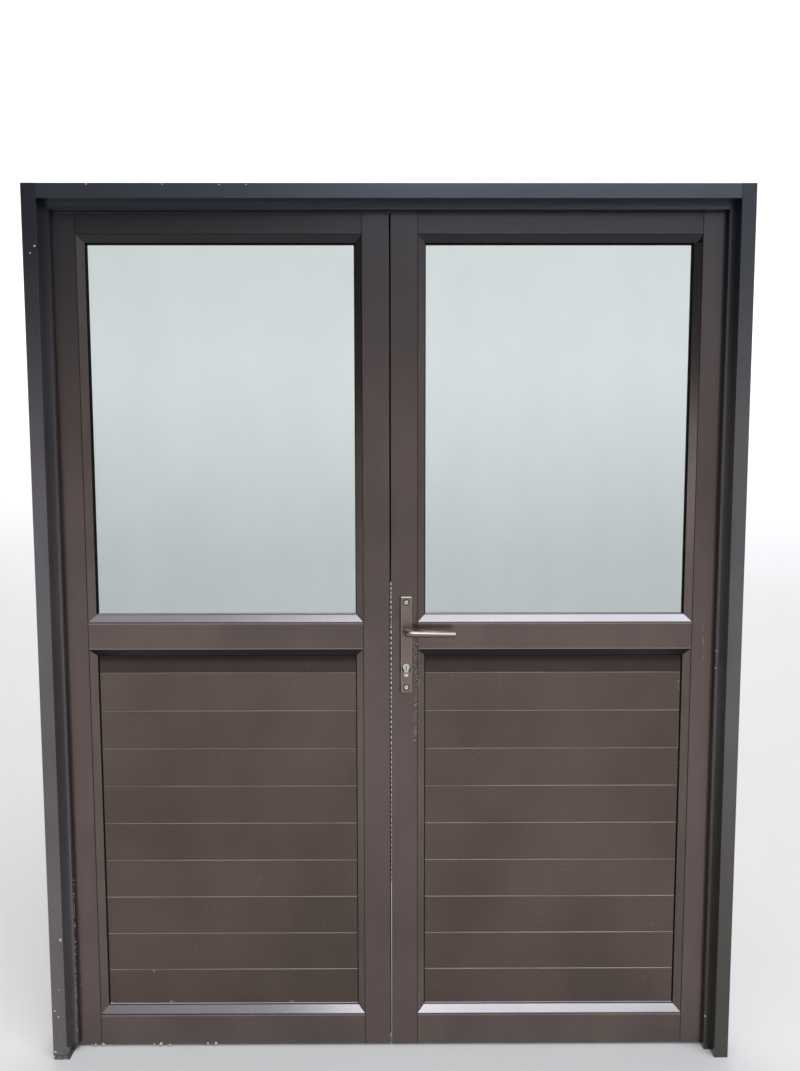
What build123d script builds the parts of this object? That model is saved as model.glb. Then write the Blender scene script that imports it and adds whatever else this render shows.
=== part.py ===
"""Double glazed entrance door in its own aluminium frame.

Two side-hung leaves open inwards, towards +Y. Each has clear glass above a mid rail and a panel
of interlocking slats below it. The right leaf is the active one, with a lever handle and a
profile-cylinder lock. The left leaf is held by sliding bolts at its head and foot.

X runs to the right as seen from outside, Y into the building and Z up. The origin is on the
floor, midway between the jambs and in the middle of the leaves' thickness. All sizes are in mm.
"""

from build123d import *
import os
from math import cos, radians, sin, tan

# Frame
frame_width = 1700.0
frame_height = 2140.0
band_width = 34.0  # flat outer face of the frame
rebate_offset = 36.0  # outer face of the frame to the wall beside the leaf
lip_offset = 50.0  # outer face of the frame to the edge of the stop lip
band_depth = 29.0  # front of the frame back to the front of the lip
lip_thickness = 14.0
lip_to_leaf = 3.0  # room for the frame gasket
frame_wall = 2.0
corner_radius = 0.6  # rolled edge of every extrusion
screw_port_radius = 2.4
screw_port_wall = 1.8
head_screw_cap_radius = 4.5
head_screw_cap = 3.0
head_screw_length = 30.0
head_screw_access = 6.0  # radius of the hole that a head screw is driven through
packer_height = 12.0
packer_count = 3

# Leaves
leaf_thickness = 44.0
leaf_clearance = 4.0  # round the leaf inside the rebate
meeting_gap = 4.0
floor_gap = 8.0
stile_width = 65.0
top_rail_height = 62.0
mid_rail_height = 68.0
mid_rail_top = 1106.0
bottom_rail_height = 80.0
face_wall = 2.0
glazing_wall = 3.6
edge_wall = 5.0

# Glass, slats and what holds them
glass_thickness = 6.4
slat_thickness = 10.0
slat_pitch = 97.2
first_joint_height = 198.4  # lowest joint line between two slats
slat_chamfer = 1.2
slat_wall = 1.4
tongue_width = 3.0
tongue_height = 6.5
tongue_clearance = 0.3
edge_play = 5.0  # glass and panel stand this far inside the opening
bead_height = 17.0
bead_step = 0.4  # the bead starts this far behind the leaf's face
bead_nose = 10.2  # the bead's sight edge, from the middle of the leaf
bead_back = 7.1  # the bead's inner edge, from the middle of the leaf
bead_wall = 1.4
bead_foot = 2.0
bead_foot_near = 11.0
foot_depth = 1.5
foot_clearance = 0.1
joint_gap = 0.2  # hairline between two pieces that meet at a mitre or a butt
gasket_cover = 9.0  # from the opening's edge to the gasket's outer edge
gasket_sight = 2.5  # the gasket stands this far past the bead
block_length = 80.0
block_width = 9.0

# Tie rods that draw the stiles onto the rails
tie_radius = 4.0
tie_clearance = 0.3
tie_nut_radius = 7.0
tie_nut_length = 6.5
tie_access_radius = 8.0
tie_tail = 1.0  # rod past its nut

# Hinges
lowest_hinge = 250.0
middle_hinge = 1130.0
top_hinge_drop = 220.0  # top hinge below the leaf's top
hinge_length = 96.0
hinge_plate = 3.0
hinge_plate_width = 30.0
knuckle_radius = 7.0
knuckle_wall_gap = 1.0  # barrel stands this far off the leaf's face
knuckle_gap = 0.4
pin_radius = 4.0
pin_clearance = 0.05
pin_head = 2.0
screw_radius = 2.4
screw_head_radius = 4.6
screw_length = 12.0
screw_inset = 9.0  # hinge screws stand this far from the plate's ends
edge_screw_length = 9.0
edge_screw_inset = 9.0

# Seals
lip_gasket_width = 6.0
lip_gasket_foot = 3.0
lip_gasket_foot_depth = 3.0
gasket_to_leaf = 0.3
pile_offset = 16.0  # pile strip from the middle of the leaf, towards the inside
pile_base_width = 4.6
pile_base_depth = 1.2
pile_width = 3.0
pile_height = 2.2

# Lock and handle on the active leaf
backset = 37.0
lever_height = 1087.5
cylinder_drop = 92.0
plate_end = 30.5  # half of what the plate is longer than the case
plate_width = 27.0
plate_thickness = 8.0
plate_drop = 37.0  # middle of the plate below the lever's axis
plate_edge = 1.0
plate_screw_inset = 13.5
plate_screw_radius = 2.5
plate_screw_cap_radius = 5.2
plate_screw_cap = 1.6
post_radius = 4.0  # hole in the stile round a plate screw
case_depth = 50.0
case_thickness = 15.0
case_height = 178.0
case_drop = 43.5  # middle of the case below the lever's axis
case_wall = 1.5
faceplate_width = 22.0
faceplate_end = 28.5  # faceplate past each end of the case
faceplate_thickness = 3.0
latch_rise = 15.0  # middle of the latch above the lever's axis
latch_height = 20.0
latch_thickness = 11.0
latch_throw = 12.0
latch_body = 17.0  # solid head of the latch, back from the faceplate's front
latch_lug = 3.5
deadbolt_drop = 55.5  # middle of the deadbolt below the lever's axis
deadbolt_height = 34.0
deadbolt_thickness = 11.0
deadbolt_throw = 20.0
deadbolt_hold = 9.0  # length that stays in the case when thrown
bolt_clearance = 0.4
follower_radius = 9.0
follower_arm = 18.0
arm_overlap = 2.5  # height that the arm and the latch's lug share
follower_width = 3.0
lever_turn = 38.0  # degrees from rest to the latch drawn back
spindle_size = 8.0
spindle_clearance = 0.1
lever_reach = 118.0
lever_standoff = 50.0  # face of the leaf to the middle of the grip
lever_bend = 16.0  # radius of the elbow's middle line
lever_neck = (17.5, 19.0, 8.0)  # height, depth and corner radius of the section at the plate
lever_root = (17.5, 12.5, 5.0)  # the same where the straight grip starts
lever_tip = (13.0, 11.0, 4.0)  # the same at the grip's end
elbow_sections = 3
spindle_inset = 14.0  # the spindle stops this far short of the grip's middle
collar_radius = 11.0
collar_height = 3.0
collar_clearance = 0.3
journal_radius = 9.3
journal_clearance = 0.2
cylinder_radius = 8.5
cylinder_drop_to_foot = 24.5
cylinder_lobe = 10.0
cylinder_proud = 1.5
cylinder_screw_drop = 20.0
plug_radius = 6.5
cam_width = 10.0
cam_radius = 7.8
cam_nose = 14.0
cam_half = 2.5
keyway_width = 2.2
keyway_height = 8.0
keyway_depth = 6.0
keyway_drop = 1.0  # middle of the keyway below the plug's middle

# Strike and sliding bolts on the passive leaf
strike_width = 20.0
strike_end = 6.0  # strike past each end of the case
strike_thickness = 2.5
pocket_play = 2.2  # room round each bolt in the strike plate
bolt_plate_width = 20.0
bolt_plate_height = 160.0
bolt_plate_thickness = 3.0
bolt_radius = 4.0
bolt_travel = 18.0
bolt_inset = 14.0  # middle of the bolt from the meeting edge
bolt_start = 1.0  # drawn bolt below the leaf's end
bolt_plate_inset = 40.0
guide_length = 20.0
thumb_slot_width = 9.0
thumb_slot_height = 40.0

# Fixing holes for the wall anchors
anchor_radius = 4.25
lowest_anchor = 300.0
top_anchor_drop = 240.0  # highest anchor below the frame's top
anchor_count = 4
anchor_reach = 450.0  # head anchors from the middle

# Places that follow from the sizes above
half_width = frame_width / 2
leaf_face = leaf_thickness / 2
lip_back = -leaf_face - lip_to_leaf
lip_front = lip_back - lip_thickness
frame_front = lip_front - band_depth
frame_back = leaf_face
leaf_edge = half_width - rebate_offset - leaf_clearance
meeting_edge = meeting_gap / 2
leaf_top = frame_height - rebate_offset - leaf_clearance
leaf_bottom = floor_gap
opening_near = meeting_edge + stile_width
opening_far = leaf_edge - stile_width
mid_rail_bottom = mid_rail_top - mid_rail_height
glass_bottom = mid_rail_top
glass_top = leaf_top - top_rail_height
panel_bottom = leaf_bottom + bottom_rail_height
panel_top = mid_rail_bottom
hinge_x = half_width - rebate_offset - leaf_clearance / 2
hinge_y = leaf_face + knuckle_wall_gap + knuckle_radius
lock_x = meeting_edge + backset
cylinder_height = lever_height - cylinder_drop
plate_centre = lever_height - plate_drop
plate_height = case_height + 2 * plate_end
plate_screw_centres = plate_height - 2 * plate_screw_inset
case_centre = lever_height - case_drop
deadbolt_centre = lever_height - deadbolt_drop
faceplate_height = case_height + 2 * faceplate_end
strike_height = case_height + 2 * strike_end
hinge_heights = (lowest_hinge, middle_hinge, leaf_top - top_hinge_drop)
anchor_step = (frame_height - top_anchor_drop - lowest_anchor) / (anchor_count - 1)
anchor_heights = [lowest_anchor + k * anchor_step for k in range(anchor_count)]
bolt_x = meeting_edge + bolt_inset
rail_heights = (
    (panel_bottom - bottom_rail_height / 2),
    (mid_rail_top - mid_rail_height / 2),
    (leaf_top - top_rail_height / 2),
)

os.makedirs("parts", exist_ok=True)


def write(name, *pieces):
    """Labels one piece, or a group of separate pieces, and writes its file."""
    shape = pieces[0] if len(pieces) == 1 else Compound(children=list(pieces))
    shape.label = name
    export_step(shape, f"parts/{name}.step")


def block(x_span, y_span, z_span, mode=Mode.ADD):
    """A square-edged block between pairs of limits, in either order."""
    spans = (x_span, y_span, z_span)
    with Locations(tuple(sum(span) / 2 for span in spans)):
        Box(*(abs(span[1] - span[0]) for span in spans), mode=mode)


def rod(start, direction, length, radius, mode=Mode.ADD):
    """A round bar, or a drilled hole, from a start point along a direction."""
    with BuildSketch(Plane(origin=start, z_dir=direction)) as end:
        Circle(radius)
    extrude(end.sketch, amount=length, mode=mode)


def outline(points, radii=0, mode=Mode.ADD):
    """A closed face inside a sketch; radii is one radius or one for each corner."""
    with BuildLine() as edge:
        if radii == 0:
            Polyline(*points, close=True)
        else:
            FilletPolyline(*points, radius=radii, close=True)
    make_face(edge.edges(), mode=mode)


def frame_section(place):
    """The frame's extrusion. place turns (distance in from the outer face, y) into sketch points."""
    groove = lip_gasket_foot / 2
    seat = (lip_offset + rebate_offset) / 2 + 1
    floor = lip_back - lip_gasket_foot_depth
    outer = [
        (0, frame_front), (band_width, frame_front), (band_width, lip_front), (lip_offset, lip_front),
        (lip_offset, lip_back), (seat + groove, lip_back), (seat + groove, floor),
        (seat - groove, floor), (seat - groove, lip_back), (rebate_offset, lip_back),
        (rebate_offset, frame_back), (0, frame_back),
    ]
    soft = corner_radius
    outline([place(*p) for p in outer], [soft, soft, 0, soft, soft, 0, 0, 0, 0, 0, soft, soft])
    wall = frame_wall
    chamber = [
        (wall, frame_front + wall), (band_width - wall, frame_front + wall),
        (band_width - wall, lip_front + wall), (rebate_offset - wall, lip_front + wall),
        (rebate_offset - wall, frame_back - wall), (wall, frame_back - wall),
    ]
    lip_chamber = [
        (rebate_offset, lip_front + wall), (lip_offset - wall, lip_front + wall),
        (lip_offset - wall, floor - wall), (rebate_offset, floor - wall),
    ]
    for hollow in (chamber, lip_chamber):
        outline([place(*p) for p in hollow], mode=Mode.SUBTRACT)
    for y in screw_ports:
        with Locations(place(port_inset, y)):
            Circle(screw_port_radius + screw_port_wall)
            Circle(screw_port_radius, mode=Mode.SUBTRACT)


port_inset = frame_wall + screw_port_radius + screw_port_wall - 0.5
screw_ports = (frame_front + frame_wall + 9, frame_back - frame_wall - 9)


def rail_section(place, height, grooves):
    """A leaf member's hollow section. place turns (distance across the face, y) into sketch points.

    grooves lists the edges, 0 or 1, that carry glazing beads; an edge without beads is thicker.
    """
    near = bead_foot_near - foot_clearance
    far = near + bead_foot + 2 * foot_clearance
    deep = foot_depth + foot_clearance
    points, radii = [], []
    for edge in (0, 1):
        at = edge * height
        inward = 1 if edge == 0 else -1
        run = [(at, -leaf_face)]
        if edge in grooves:
            for y in ((-far, -near), (near, far)):
                run += [(at, y[0]), (at + inward * deep, y[0]), (at + inward * deep, y[1]), (at, y[1])]
        run += [(at, leaf_face)]
        points += run if edge == 0 else run[::-1]
        radii += [corner_radius] + [0] * (len(run) - 2) + [corner_radius]
    outline([place(*p) for p in points], radii)
    walls = [glazing_wall if edge in grooves else edge_wall for edge in (0, 1)]
    inside = leaf_face - face_wall
    reach = (walls[0], height - walls[1])
    hollow = [(reach[0], -inside), (reach[1], -inside), (reach[1], inside), (reach[0], inside)]
    outline([place(*p) for p in hollow], mode=Mode.SUBTRACT)


def bead_section():
    """The glazing bead in (distance in from the opening's edge, distance from the leaf's middle)."""
    start = leaf_face - bead_step
    slope = (start - bead_nose) / bead_height
    drop = bead_wall * 1.2
    return [
        (0, start), (bead_height, bead_nose), (bead_height, bead_back),
        (bead_height - bead_wall, bead_back),
        (bead_height - bead_wall, bead_nose + slope * bead_wall - drop),
        (bead_wall, start - slope * bead_wall - drop), (bead_wall, bead_foot_near),
        (-foot_depth, bead_foot_near), (-foot_depth, bead_foot_near + bead_foot),
        (0, bead_foot_near + bead_foot),
    ]


def bead(opening, edge, face, butt=()):
    """One bead on an edge of an opening ((x0, x1), (z0, z1)), outside (-1) or inside (1).

    Its ends are mitred. butt names the two edges of one corner where the first bead runs through
    to the opening's edge and the second stops square under it.
    """
    (x0, x1), (z0, z1) = opening
    upright = edge in ("near", "far")
    flip = edge in ("far", "top")
    base = {"near": x0, "far": x1, "bottom": z0, "top": z1}[edge]
    section = [((base - w if flip else base + w), face * y) for w, y in bead_section()]
    with BuildPart() as piece:
        if upright:
            with BuildSketch(Plane.XY.offset(z0)):
                outline(section)
            extrude(amount=z1 - z0)
        else:
            with BuildSketch(Plane.YZ.offset(x0)):
                outline([(y, z) for z, y in section])
            extrude(amount=x1 - x0)
        into = {"near": (-1, 0), "far": (1, 0), "bottom": (0, -1), "top": (0, 1)}[edge]
        ends = {"near": ((x0, z0), (x0, z1)), "far": ((x1, z0), (x1, z1)),
                "bottom": ((x0, z0), (x1, z0)), "top": ((x0, z1), (x1, z1))}[edge]
        for x, z in ends:
            corner = {"near" if x == x0 else "far", "bottom" if z == z0 else "top"}
            along = (0, -1 if z == z1 else 1) if upright else (-1 if x == x1 else 1, 0)
            if corner != set(butt):
                normal = (along[0] + into[0], 0, along[1] + into[1])
                shift = joint_gap / 2
            elif edge == butt[1]:
                normal = (along[0], 0, along[1])
                shift = bead_height + joint_gap
            else:
                continue
            origin = (x + along[0] * shift, 0, z + along[1] * shift)
            split(bisect_by=Plane(origin=origin, z_dir=normal), keep=Keep.TOP)
    return piece.part


def gasket_ring(opening, face, near):
    """A wedge gasket all round an opening, between the glazed sheet's face and the bead."""
    (x0, x1), (z0, z1) = opening
    sizes = [(x1 - x0 - 2 * cut, z1 - z0 - 2 * cut) for cut in (gasket_cover, bead_height + gasket_sight)]
    with BuildPart() as ring:
        middle = ((x0 + x1) / 2, face * near, (z0 + z1) / 2)
        with BuildSketch(Plane(origin=middle, z_dir=(0, face, 0), x_dir=(1, 0, 0))):
            Rectangle(*sizes[0])
            Rectangle(*sizes[1], mode=Mode.SUBTRACT)
        extrude(amount=bead_back - near)
        lip = ring.faces().sort_by(Axis((0, 0, 0), (0, face, 0)))[-1].inner_wires()[0].edges()
        chamfer(lip, min(gasket_sight * 0.6, (bead_back - near) * 0.6))
    return ring.part


def screw(start, direction, length=screw_length):
    """A countersunk screw whose flat head is flush at its start point."""
    taper = screw_head_radius - screw_radius
    with BuildPart() as piece:
        with BuildSketch(Plane(origin=start, z_dir=direction)):
            Circle(screw_head_radius)
        extrude(amount=taper, taper=45)
        rod(start, direction, length, screw_radius)
    return piece.part


def countersink(start, direction, length):
    """Cuts the seat and hole of a countersunk screw in the part being built."""
    with BuildSketch(Plane(origin=start, z_dir=direction)) as rim:
        Circle(screw_head_radius)
    extrude(rim.sketch, amount=screw_head_radius - screw_radius, taper=45, mode=Mode.SUBTRACT)
    rod(start, direction, length, screw_radius, Mode.SUBTRACT)


def hinge_screw_points(side, on_frame):
    """Where the hinge screws of one side start, on the hinge plates of the frame or of the leaf."""
    reach = knuckle_radius + knuckle_wall_gap + hinge_plate_width * 0.55
    x = side * (hinge_x + reach if on_frame else hinge_x - reach)
    along = hinge_length / 2 - screw_inset
    return [(x, leaf_face + hinge_plate, z + shift) for z in hinge_heights for shift in (-along, along)]


def hinge_leaf(side, height, on_frame):
    """A hinge plate and its knuckles: two outer ones on the frame, the middle one on the leaf."""
    third = hinge_length / 3
    out = side if on_frame else -side
    spans = [(-1.5 * third, -0.5 * third - knuckle_gap), (0.5 * third + knuckle_gap, 1.5 * third)]
    if not on_frame:
        spans = [(-0.5 * third, 0.5 * third)]
    axis_x = side * hinge_x
    start = axis_x + out * (knuckle_radius + knuckle_wall_gap)
    with BuildPart() as piece:
        block((start, start + out * hinge_plate_width), (leaf_face, leaf_face + hinge_plate),
              (height - hinge_length / 2, height + hinge_length / 2))
        corners = piece.edges().filter_by(Axis.Y).sort_by(Axis.X)
        fillet(corners[-2:] if out > 0 else corners[:2], 4)
        for low, high in spans:
            with BuildSketch(Plane.XY.offset(height + low)):
                with Locations((axis_x, hinge_y)):
                    Circle(knuckle_radius)
                outline([(axis_x, hinge_y), (axis_x, leaf_face + 0.5), (start, leaf_face + 0.5),
                         (start, leaf_face + hinge_plate), (axis_x + out * knuckle_radius, hinge_y)])
            extrude(amount=high - low)
        rod((axis_x, hinge_y, height - hinge_length), (0, 0, 1), 2 * hinge_length,
            pin_radius + (0 if on_frame else pin_clearance), Mode.SUBTRACT)
        for point in hinge_screw_points(side, on_frame):
            if abs(point[2] - height) < hinge_length / 2:
                countersink(point, (0, -1, 0), hinge_plate)
    return piece.part


def hinge_pin(side, height):
    """A hinge pin with a low button head at each end."""
    with BuildPart() as piece:
        rod((side * hinge_x, hinge_y, height - hinge_length / 2), (0, 0, 1), hinge_length, pin_radius)
        for start, way in ((height + hinge_length / 2, 1), (height - hinge_length / 2, -1)):
            rod((side * hinge_x, hinge_y, start), (0, 0, way), pin_head, knuckle_radius - 1)
    return piece.part


def drill_hinge_screws(side, on_frame):
    """Holes for the hinge screws through the wall behind the hinge plates."""
    for x, y, z in hinge_screw_points(side, on_frame):
        rod((x, y, z), (0, -1, 0), screw_length + 1, screw_radius + foot_clearance, Mode.SUBTRACT)


# Jambs, with the left one standing on packers
for side, hand in ((-1, "left"), (1, "right")):
    foot = packer_height if side < 0 else 0
    with BuildPart() as jamb:
        with BuildSketch(Plane.XY.offset(foot)):
            frame_section(lambda u, y: (side * (half_width - u), y))
        extrude(amount=frame_height - foot)
        drill_hinge_screws(side, True)
        for z in anchor_heights:
            rod((side * (half_width + 1), 0, z), (-side, 0, 0), lip_offset, anchor_radius, Mode.SUBTRACT)
        for y in screw_ports:
            inner = side * (half_width - band_width + frame_wall + 0.5)
            rod((side * (half_width + 1), y, frame_height - port_inset), (-side, 0, 0),
                band_width - frame_wall, head_screw_access, Mode.SUBTRACT)
            rod((inner, y, frame_height - port_inset), (-side, 0, 0), frame_wall * 3,
                screw_port_radius + foot_clearance, Mode.SUBTRACT)
    write(f"{hand}_jamb", jamb.part)

with BuildPart() as head:
    with BuildSketch(Plane.YZ.offset(-(half_width - band_width))):
        frame_section(lambda u, y: (y, frame_height - u))
    extrude(amount=2 * (half_width - band_width))
    tall = (frame_height - 2 * lip_offset, frame_height + 1)
    for side in (-1, 1):
        for inset, depth in (
            (lip_offset, (lip_front, lip_back)), (rebate_offset, (lip_back, frame_back + 1)),
        ):
            block((side * (half_width - inset), side * half_width), depth, tall, Mode.SUBTRACT)
        rod((side * anchor_reach, 0, frame_height - lip_offset), (0, 0, 1), 2 * lip_offset, anchor_radius,
            Mode.SUBTRACT)
    rod((-bolt_x, 0, frame_height - rebate_offset - 1), (0, 0, 1), frame_wall + 2, bolt_radius + 1,
        Mode.SUBTRACT)
write("head", head.part)

head_screws = []
for side in (-1, 1):
    for y in screw_ports:
        seat = half_width - band_width + frame_wall + head_screw_cap
        start = (side * seat, y, frame_height - port_inset)
        with BuildPart() as piece:
            rod(start, (-side, 0, 0), head_screw_cap, head_screw_cap_radius)
            rod(start, (-side, 0, 0), head_screw_length, screw_port_radius)
        head_screws.append(piece.part)
write("head_screws", *head_screws)

# Gasket in the stop lip, a foot in the groove and a bulb towards the leaf
gasket_seat = (lip_offset + rebate_offset) / 2 + 1
bulb = [
    (gasket_seat - lip_gasket_foot / 2, lip_back - lip_gasket_foot_depth),
    (gasket_seat + lip_gasket_foot / 2, lip_back - lip_gasket_foot_depth),
    (gasket_seat + lip_gasket_foot / 2, lip_back),
    (gasket_seat + lip_gasket_width / 2, lip_back),
    (gasket_seat + lip_gasket_width / 2 - 1, -leaf_face - gasket_to_leaf),
    (gasket_seat - lip_gasket_width / 2 + 1, -leaf_face - gasket_to_leaf),
    (gasket_seat - lip_gasket_width / 2, lip_back),
    (gasket_seat - lip_gasket_foot / 2, lip_back),
]
frame_gaskets = []
for side in (-1, 1):
    with BuildPart() as strip:
        with BuildSketch(Plane.XY.offset(packer_height)):
            outline([(side * (half_width - u), y) for u, y in bulb])
        extrude(amount=frame_height - lip_offset - packer_height)
    frame_gaskets.append(strip.part)
with BuildPart() as strip:
    with BuildSketch(Plane.YZ.offset(lip_offset - half_width)):
        outline([(y, frame_height - u) for u, y in bulb])
    extrude(amount=frame_width - 2 * lip_offset)
frame_gaskets.append(strip.part)
write("frame_gasket", *frame_gaskets)

packers = []
for k in range(packer_count):
    with BuildPart() as plate:
        thick = packer_height / packer_count
        block((-half_width + 2 * k, -half_width + band_width + 6 - 3 * k),
              (frame_front + 1 + 2 * k, frame_back - 3 * k), (k * thick, (k + 1) * thick))
    packers.append(plate.part)
write("left_jamb_packers", *packers)

# Hinges
for side, hand in ((-1, "left"), (1, "right")):
    write(f"{hand}_frame_hinges", *[hinge_leaf(side, z, True) for z in hinge_heights],
          *[hinge_pin(side, z) for z in hinge_heights])
    write(f"{hand}_leaf_hinges", *[hinge_leaf(side, z, False) for z in hinge_heights])
    write(f"{hand}_leaf_hinge_screws", *[screw(p, (0, -1, 0)) for p in hinge_screw_points(side, False)])
write("frame_hinge_screws", *[screw(p, (0, -1, 0)) for s in (-1, 1) for p in hinge_screw_points(s, True)])


def pocket(centre, size):
    """Ends of a pocket round a bolt of this size, with its play."""
    return centre - size / 2 - pocket_play, centre + size / 2 + pocket_play


def strike_cuts():
    """The strike plate's recess and the two pockets behind it, in the left meeting stile."""
    block((-meeting_edge, -meeting_edge - strike_thickness), strike_span, strike_rise, Mode.SUBTRACT)
    for centre, height, thickness in pockets:
        block((-meeting_edge + 1, -meeting_edge - edge_wall - 1), pocket(0, thickness), pocket(centre, height),
              Mode.SUBTRACT)


def tie_holes(side, opening, edge):
    """Holes in a stile: a close one for each tie rod at the opening, a wide one for its nut at the edge."""
    way = side if edge > opening else -side
    for z in rail_heights:
        rod((side * opening - way, 0, z), (way, 0, 0), glazing_wall + 2, tie_radius + tie_clearance,
            Mode.SUBTRACT)
        rod((side * edge + way, 0, z), (-way, 0, 0), edge_wall + 2, tie_access_radius, Mode.SUBTRACT)


def cylinder_outline(spare=0):
    """The profile cylinder's outline, a round barrel over a lobe with a round foot, with a clearance."""
    foot = cylinder_drop_to_foot - cylinder_lobe / 2
    Circle(cylinder_radius + spare)
    Rectangle(cylinder_lobe + 2 * spare, foot, align=(Align.CENTER, Align.MAX))
    with Locations((0, -foot)):
        Circle(cylinder_lobe / 2 + spare)


def cylinder_plane(reach):
    """The plane of the cylinder's outline, at a distance inside the leaf's middle, facing outwards."""
    return Plane(origin=(lock_x, reach, cylinder_height), x_dir=(1, 0, 0), z_dir=(0, -1, 0))


strike_span = (-strike_width / 2, strike_width / 2)
strike_rise = (case_centre - strike_height / 2, case_centre + strike_height / 2)
latch_centre = lever_height + latch_rise
pockets = (
    (latch_centre, latch_height, latch_thickness),
    (deadbolt_centre, deadbolt_height, deadbolt_thickness),
)
bolt_plates = (
    (leaf_top - bolt_plate_inset - bolt_plate_height / 2, 1),
    (leaf_bottom + bolt_plate_inset + bolt_plate_height / 2, -1),
)
lock_half = bolt_plate_width / 2
left_screw_points = [
    (-meeting_edge, 0, centre + way * (height / 2 - edge_screw_inset))
    for centre, height in ((case_centre, strike_height), *((c, bolt_plate_height) for c, _ in bolt_plates))
    for way in (-1, 1)
]
faceplate_screw_points = [
    (meeting_edge, 0, case_centre + way * (faceplate_height / 2 - edge_screw_inset)) for way in (-1, 1)
]

# The members of the two leaves
for side, hand in ((-1, "left"), (1, "right")):
    with BuildPart() as stile:
        with BuildSketch(Plane.XY.offset(leaf_bottom)):
            rail_section(lambda w, y: (side * (opening_far + w), y), stile_width, (0,))
        extrude(amount=leaf_top - leaf_bottom)
        drill_hinge_screws(side, False)
        tie_holes(side, opening_far, leaf_edge)
    write(f"{hand}_hinge_stile", stile.part)

    with BuildPart() as stile:
        with BuildSketch(Plane.XY.offset(leaf_bottom)):
            rail_section(lambda w, y: (side * (opening_near - w), y), stile_width, (0,))
        extrude(amount=leaf_top - leaf_bottom)
        tie_holes(side, opening_near, meeting_edge)
        for point in left_screw_points if side < 0 else faceplate_screw_points:
            rod(point, (side, 0, 0), edge_screw_length + 1, screw_radius + foot_clearance, Mode.SUBTRACT)
        if side < 0:
            block((-meeting_edge, -meeting_edge - pile_base_depth),
                  (pile_offset - pile_base_width / 2, pile_offset + pile_base_width / 2),
                  (leaf_bottom - 1, leaf_top + 1), Mode.SUBTRACT)
            strike_cuts()
            for centre, way in bolt_plates:
                rise = (centre - bolt_plate_height / 2, centre + bolt_plate_height / 2)
                block((-meeting_edge, -meeting_edge - bolt_plate_thickness), (-lock_half, lock_half), rise,
                      Mode.SUBTRACT)
                block((-meeting_edge, -meeting_edge - edge_wall - 1), (-lock_half + 3, lock_half - 3),
                      (rise[0] + 20, rise[1] - 20), Mode.SUBTRACT)
        else:
            half = faceplate_width / 2
            block((meeting_edge, meeting_edge + faceplate_thickness), (-half, half),
                  (case_centre - faceplate_height / 2, case_centre + faceplate_height / 2), Mode.SUBTRACT)
            half = case_thickness / 2 + bolt_clearance
            tall = case_height / 2 + bolt_clearance
            block((meeting_edge, meeting_edge + edge_wall + 1), (-half, half),
                  (case_centre - tall, case_centre + tall), Mode.SUBTRACT)
            rod((lock_x, -leaf_face - 1, lever_height), (0, 1, 0), leaf_thickness + 2, collar_radius,
                Mode.SUBTRACT)
            with BuildSketch(cylinder_plane(leaf_face + 1)):
                cylinder_outline(bolt_clearance)
            extrude(amount=leaf_thickness + 2, mode=Mode.SUBTRACT)
            for way in (-1, 1):
                rod((lock_x, -leaf_face - 1, plate_centre + way * plate_screw_centres / 2), (0, 1, 0),
                    leaf_thickness + 2, post_radius, Mode.SUBTRACT)
    write(f"{hand}_meeting_stile", stile.part)

    for name, low, high, grooves in (
        ("top_rail", glass_top, leaf_top, (0,)),
        ("mid_rail", mid_rail_bottom, mid_rail_top, (0, 1)),
        ("bottom_rail", leaf_bottom, panel_bottom, (1,)),
    ):
        with BuildPart() as rail:
            with BuildSketch(Plane.YZ.offset(side * opening_near if side > 0 else -opening_far)):
                rail_section(lambda w, y: (y, low + w), high - low, grooves)
            extrude(amount=opening_far - opening_near)
        write(f"{hand}_{name}", rail.part)

    ties = []
    for z in rail_heights:
        with BuildPart() as tie:
            spare = glazing_wall + tie_nut_length + tie_tail
            rod((side * (opening_near - spare), 0, z), (side, 0, 0),
                opening_far - opening_near + 2 * spare, tie_radius)
        ties.append(tie.part)
        for x, way in ((opening_near - glazing_wall, -1), (opening_far + glazing_wall, 1)):
            with BuildPart() as nut:
                with BuildSketch(Plane(origin=(side * x, 0, z), z_dir=(side * way, 0, 0))):
                    RegularPolygon(tie_nut_radius, 6)
                    Circle(tie_radius, mode=Mode.SUBTRACT)
                extrude(amount=tie_nut_length)
            ties.append(nut.part)
    write(f"{hand}_tie_rods", *ties)

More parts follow.
